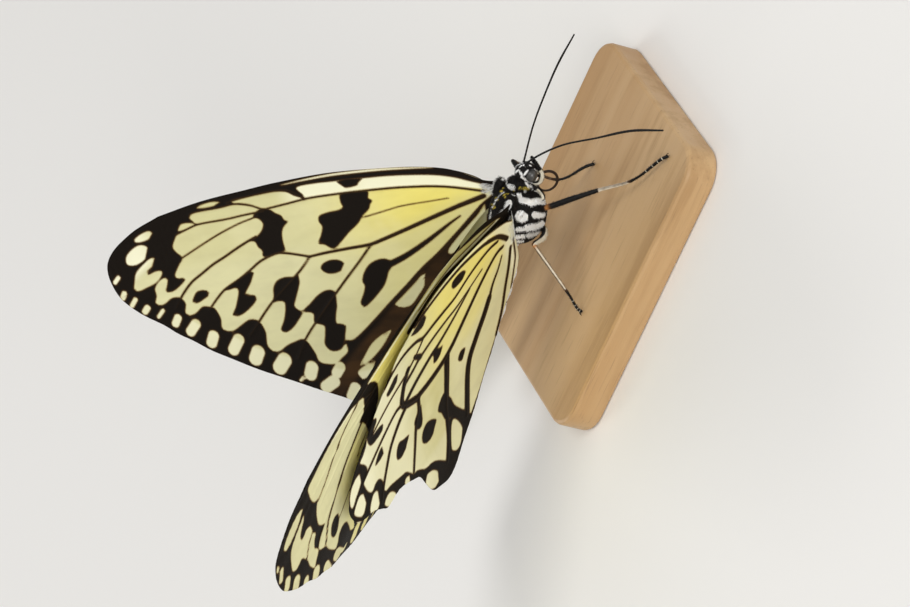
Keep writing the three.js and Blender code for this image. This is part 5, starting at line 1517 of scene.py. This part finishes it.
def make_side(side, skin_look, hair_look, eye_look, limb_looks):
    """One side's eye, tegula with its hair, down at the wings' roots, palp, folded foreleg and antenna."""
    way = SIDES[side]
    mirror, outward = np.array([way, 1, 1]), np.array([-way, 1.0, 1.0])
    ball(f"eye_{side}_facets", np.array(EYE["place"]) * mirror, EYE["radius"], eye_look, f"eye_{side}", "eye")
    lobe = (np.array(TEGULA["place"]) * mirror, TEGULA["radius"])
    ball(f"tegula_{side}_scales", *lobe, skin_look, f"tegula_{side}", "body")
    lobe_coat(f"tegula_{side}_hair", *lobe, 1500, 0.4, 0.06, hair_look, 31)
    root_down(f"forewing_{side}_down", side, False, 260, hair_look, 32)
    root_down(f"hindwing_{side}_down", side, True, 520, hair_look, 33)
    path = limb_course(np.array(PALP) * outward, PALP_STEPS)
    limb(f"palp_{side}_core", path, spread(PALP_RADII, PALP_STEPS), limb_looks, f"palp_{side}",
         (1100, 0.22, 0.055, 21), palp_pale)
    path = limb_course(np.array(FORELEG) * outward, FORELEG_STEPS)
    limb(f"foreleg_{side}_core", path, spread(FORELEG_RADII, FORELEG_STEPS), limb_looks, f"foreleg_{side}",
         (700, 0.26, 0.05, 22), foreleg_pale)
    share = np.linspace(0, 1, ANTENNA_STEPS)
    rings = 1 - 0.1 * bump_at(share * ANTENNA_RINGS % 1, 0.5, 0.16)
    radius = spread(ANTENNA_RADII[side], ANTENNA_STEPS) * rings * (1 + 0.5 * bump_at(share, 0.03, 0.02))
    path = limb_course(ANTENNAE[side], ANTENNA_STEPS)
    limb(f"antenna_{side}_rings", path, radius, limb_looks, f"antenna_{side}", sides=14)


def make_proboscis(looks):
    """The coiled proboscis: a stalk and most of a turn that narrows, with fine rings all along."""
    part = np.linspace(0, PROBOSCIS["turns"], 13)
    turn = math.radians(60) - part * 2 * np.pi
    coil = PROBOSCIS["coil"] * (1 - 0.18 * part)
    middle_y, middle_z = PROBOSCIS["middle"]
    loop = np.stack([0 * turn, -middle_y + coil * np.cos(turn), middle_z + coil * np.sin(turn)], -1)
    path = limb_course(np.concatenate([[PROBOSCIS["root"]], loop]), PROBOSCIS_STEPS)
    rings = 1 + 0.06 * np.sin(np.linspace(0, 260 * np.pi, PROBOSCIS_STEPS))
    limb("proboscis_tube", path, spread(PROBOSCIS_RADII, PROBOSCIS_STEPS) * rings, looks, "proboscis",
         brown=lambda along, around: 0.05 + 0 * along, sides=14)


def make_leg(name, spec, looks):
    """One walking leg."""
    thigh(name, spec["hip"], spec["knee"], looks)
    path = shin(name, spec["knee"], spec["ankle"], spec["toe"], looks)
    claws(name, path, looks)


edge, relief = ragged_edge(), fine_relief()
make_wings(wing_material(edge))
skin_look = body_material("black_down", False, edge, relief)
hair_look = body_material("black_down_hair", True, edge, relief)
make_body(skin_look, hair_look)
eye_look = eye_material()
limb_looks = dict(limb=limb_material("limb_horn", 0.48, edge, relief),
                  hair=limb_material("limb_hair", 0.6, edge, relief))
for side in SIDES:
    make_side(side, skin_look, hair_look, eye_look, limb_looks)
make_proboscis(limb_looks)
for name, spec in LEGS.items():
    make_leg(name, spec, limb_looks)
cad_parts["stand_base"].data.materials.clear()
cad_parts["stand_base"].data.materials.append(wood_material())

# ---- Floor, lights and camera ------------------------------------------------------------------------------

VIEW_RIGHT = Vector((-0.313, -0.397, -0.8625))
VIEW_UP = Vector((0.480, -0.850, 0.218))
IMAGE_WIDTH, IMAGE_HEIGHT = 910, 607
SENSOR_WIDTH = 36.0
FOCAL = 5000.0  # the lens's focal length in the pixels of the image's width
DISTANCE = 0.7381  # from the lens to the body frame's origin
BODY_PIXEL = (516.5, 214.9)  # where the body frame's origin shows
CENTRE = (0, 0.02, 0.03)  # where the lights point
LIGHTS = {"key": ((-0.95, -0.25, 0.3), 4.4), "top": ((-0.3, -0.3, 1.0), 3.0), "back": ((0.5, 0.8, 0.6), 2.4)}
LIGHT_SIZE = 0.5
FLOOR_SIZE = 3.0
SKY_STRENGTH = 0.5


def add_camera():
    """The camera looks from the butterfly's right, a little from the front and above, rolled so that the
    head is up in the picture."""
    right = VIEW_RIGHT.normalized()
    up = (VIEW_UP - VIEW_UP.dot(right) * right).normalized()
    back = right.cross(up).normalized()
    data = bpy.data.cameras.new("camera")
    data.sensor_width = SENSOR_WIDTH
    data.lens = FOCAL * SENSOR_WIDTH / IMAGE_WIDTH
    data.clip_start, data.clip_end = 0.01, 20
    camera = bpy.data.objects.new("camera", data)
    bpy.context.scene.collection.objects.link(camera)
    place = Vector((0, 0, BODY_RISE * MM)) + back * DISTANCE
    aside = Vector(((BODY_PIXEL[0] - IMAGE_WIDTH / 2) / FOCAL,
                    -(BODY_PIXEL[1] - IMAGE_HEIGHT / 2) / FOCAL, -1.0))
    turn = Vector((0, 0, -1.0)).rotation_difference(aside.normalized()).inverted().to_matrix().to_4x4()
    axes = Matrix((right, up, back)).transposed().to_4x4()
    camera.matrix_world = Matrix.Translation(place) @ axes @ turn
    bpy.context.scene.camera = camera


def add_light(name, place, power):
    """A soft round lamp that points at the butterfly."""
    data = bpy.data.lights.new(name, "AREA")
    data.shape, data.size, data.energy = "DISK", LIGHT_SIZE, power
    light = bpy.data.objects.new(name, data)
    light.location = place
    light.rotation_euler = (Vector(CENTRE) - Vector(place)).to_track_quat("-Z", "Y").to_euler()
    bpy.context.scene.collection.objects.link(light)


def add_floor():
    """A flat floor under the base."""
    mesh = bpy.data.meshes.new("floor")
    corners = [(x * FLOOR_SIZE, y * FLOOR_SIZE, 0) for x, y in ((-1, -1), (1, -1), (1, 1), (-1, 1))]
    mesh.from_pydata(corners, [], [(0, 1, 2, 3)])
    mesh.materials.append(floor_material())
    floor = bpy.data.objects.new("floor", mesh)
    bpy.context.scene.collection.objects.link(floor)


def add_sky():
    """Even white light from all round."""
    world = bpy.data.worlds.new("soft_light")
    world.use_nodes = True
    background = world.node_tree.nodes["Background"].inputs
    background[0].default_value = (1, 1, 1, 1)
    background[1].default_value = SKY_STRENGTH
    bpy.context.scene.world = world


add_camera()
add_floor()
for name, (place, power) in LIGHTS.items():
    add_light(name, place, power)
add_sky()
bpy.context.scene.view_settings.view_transform = "Standard"

bpy.context.view_layer.update()
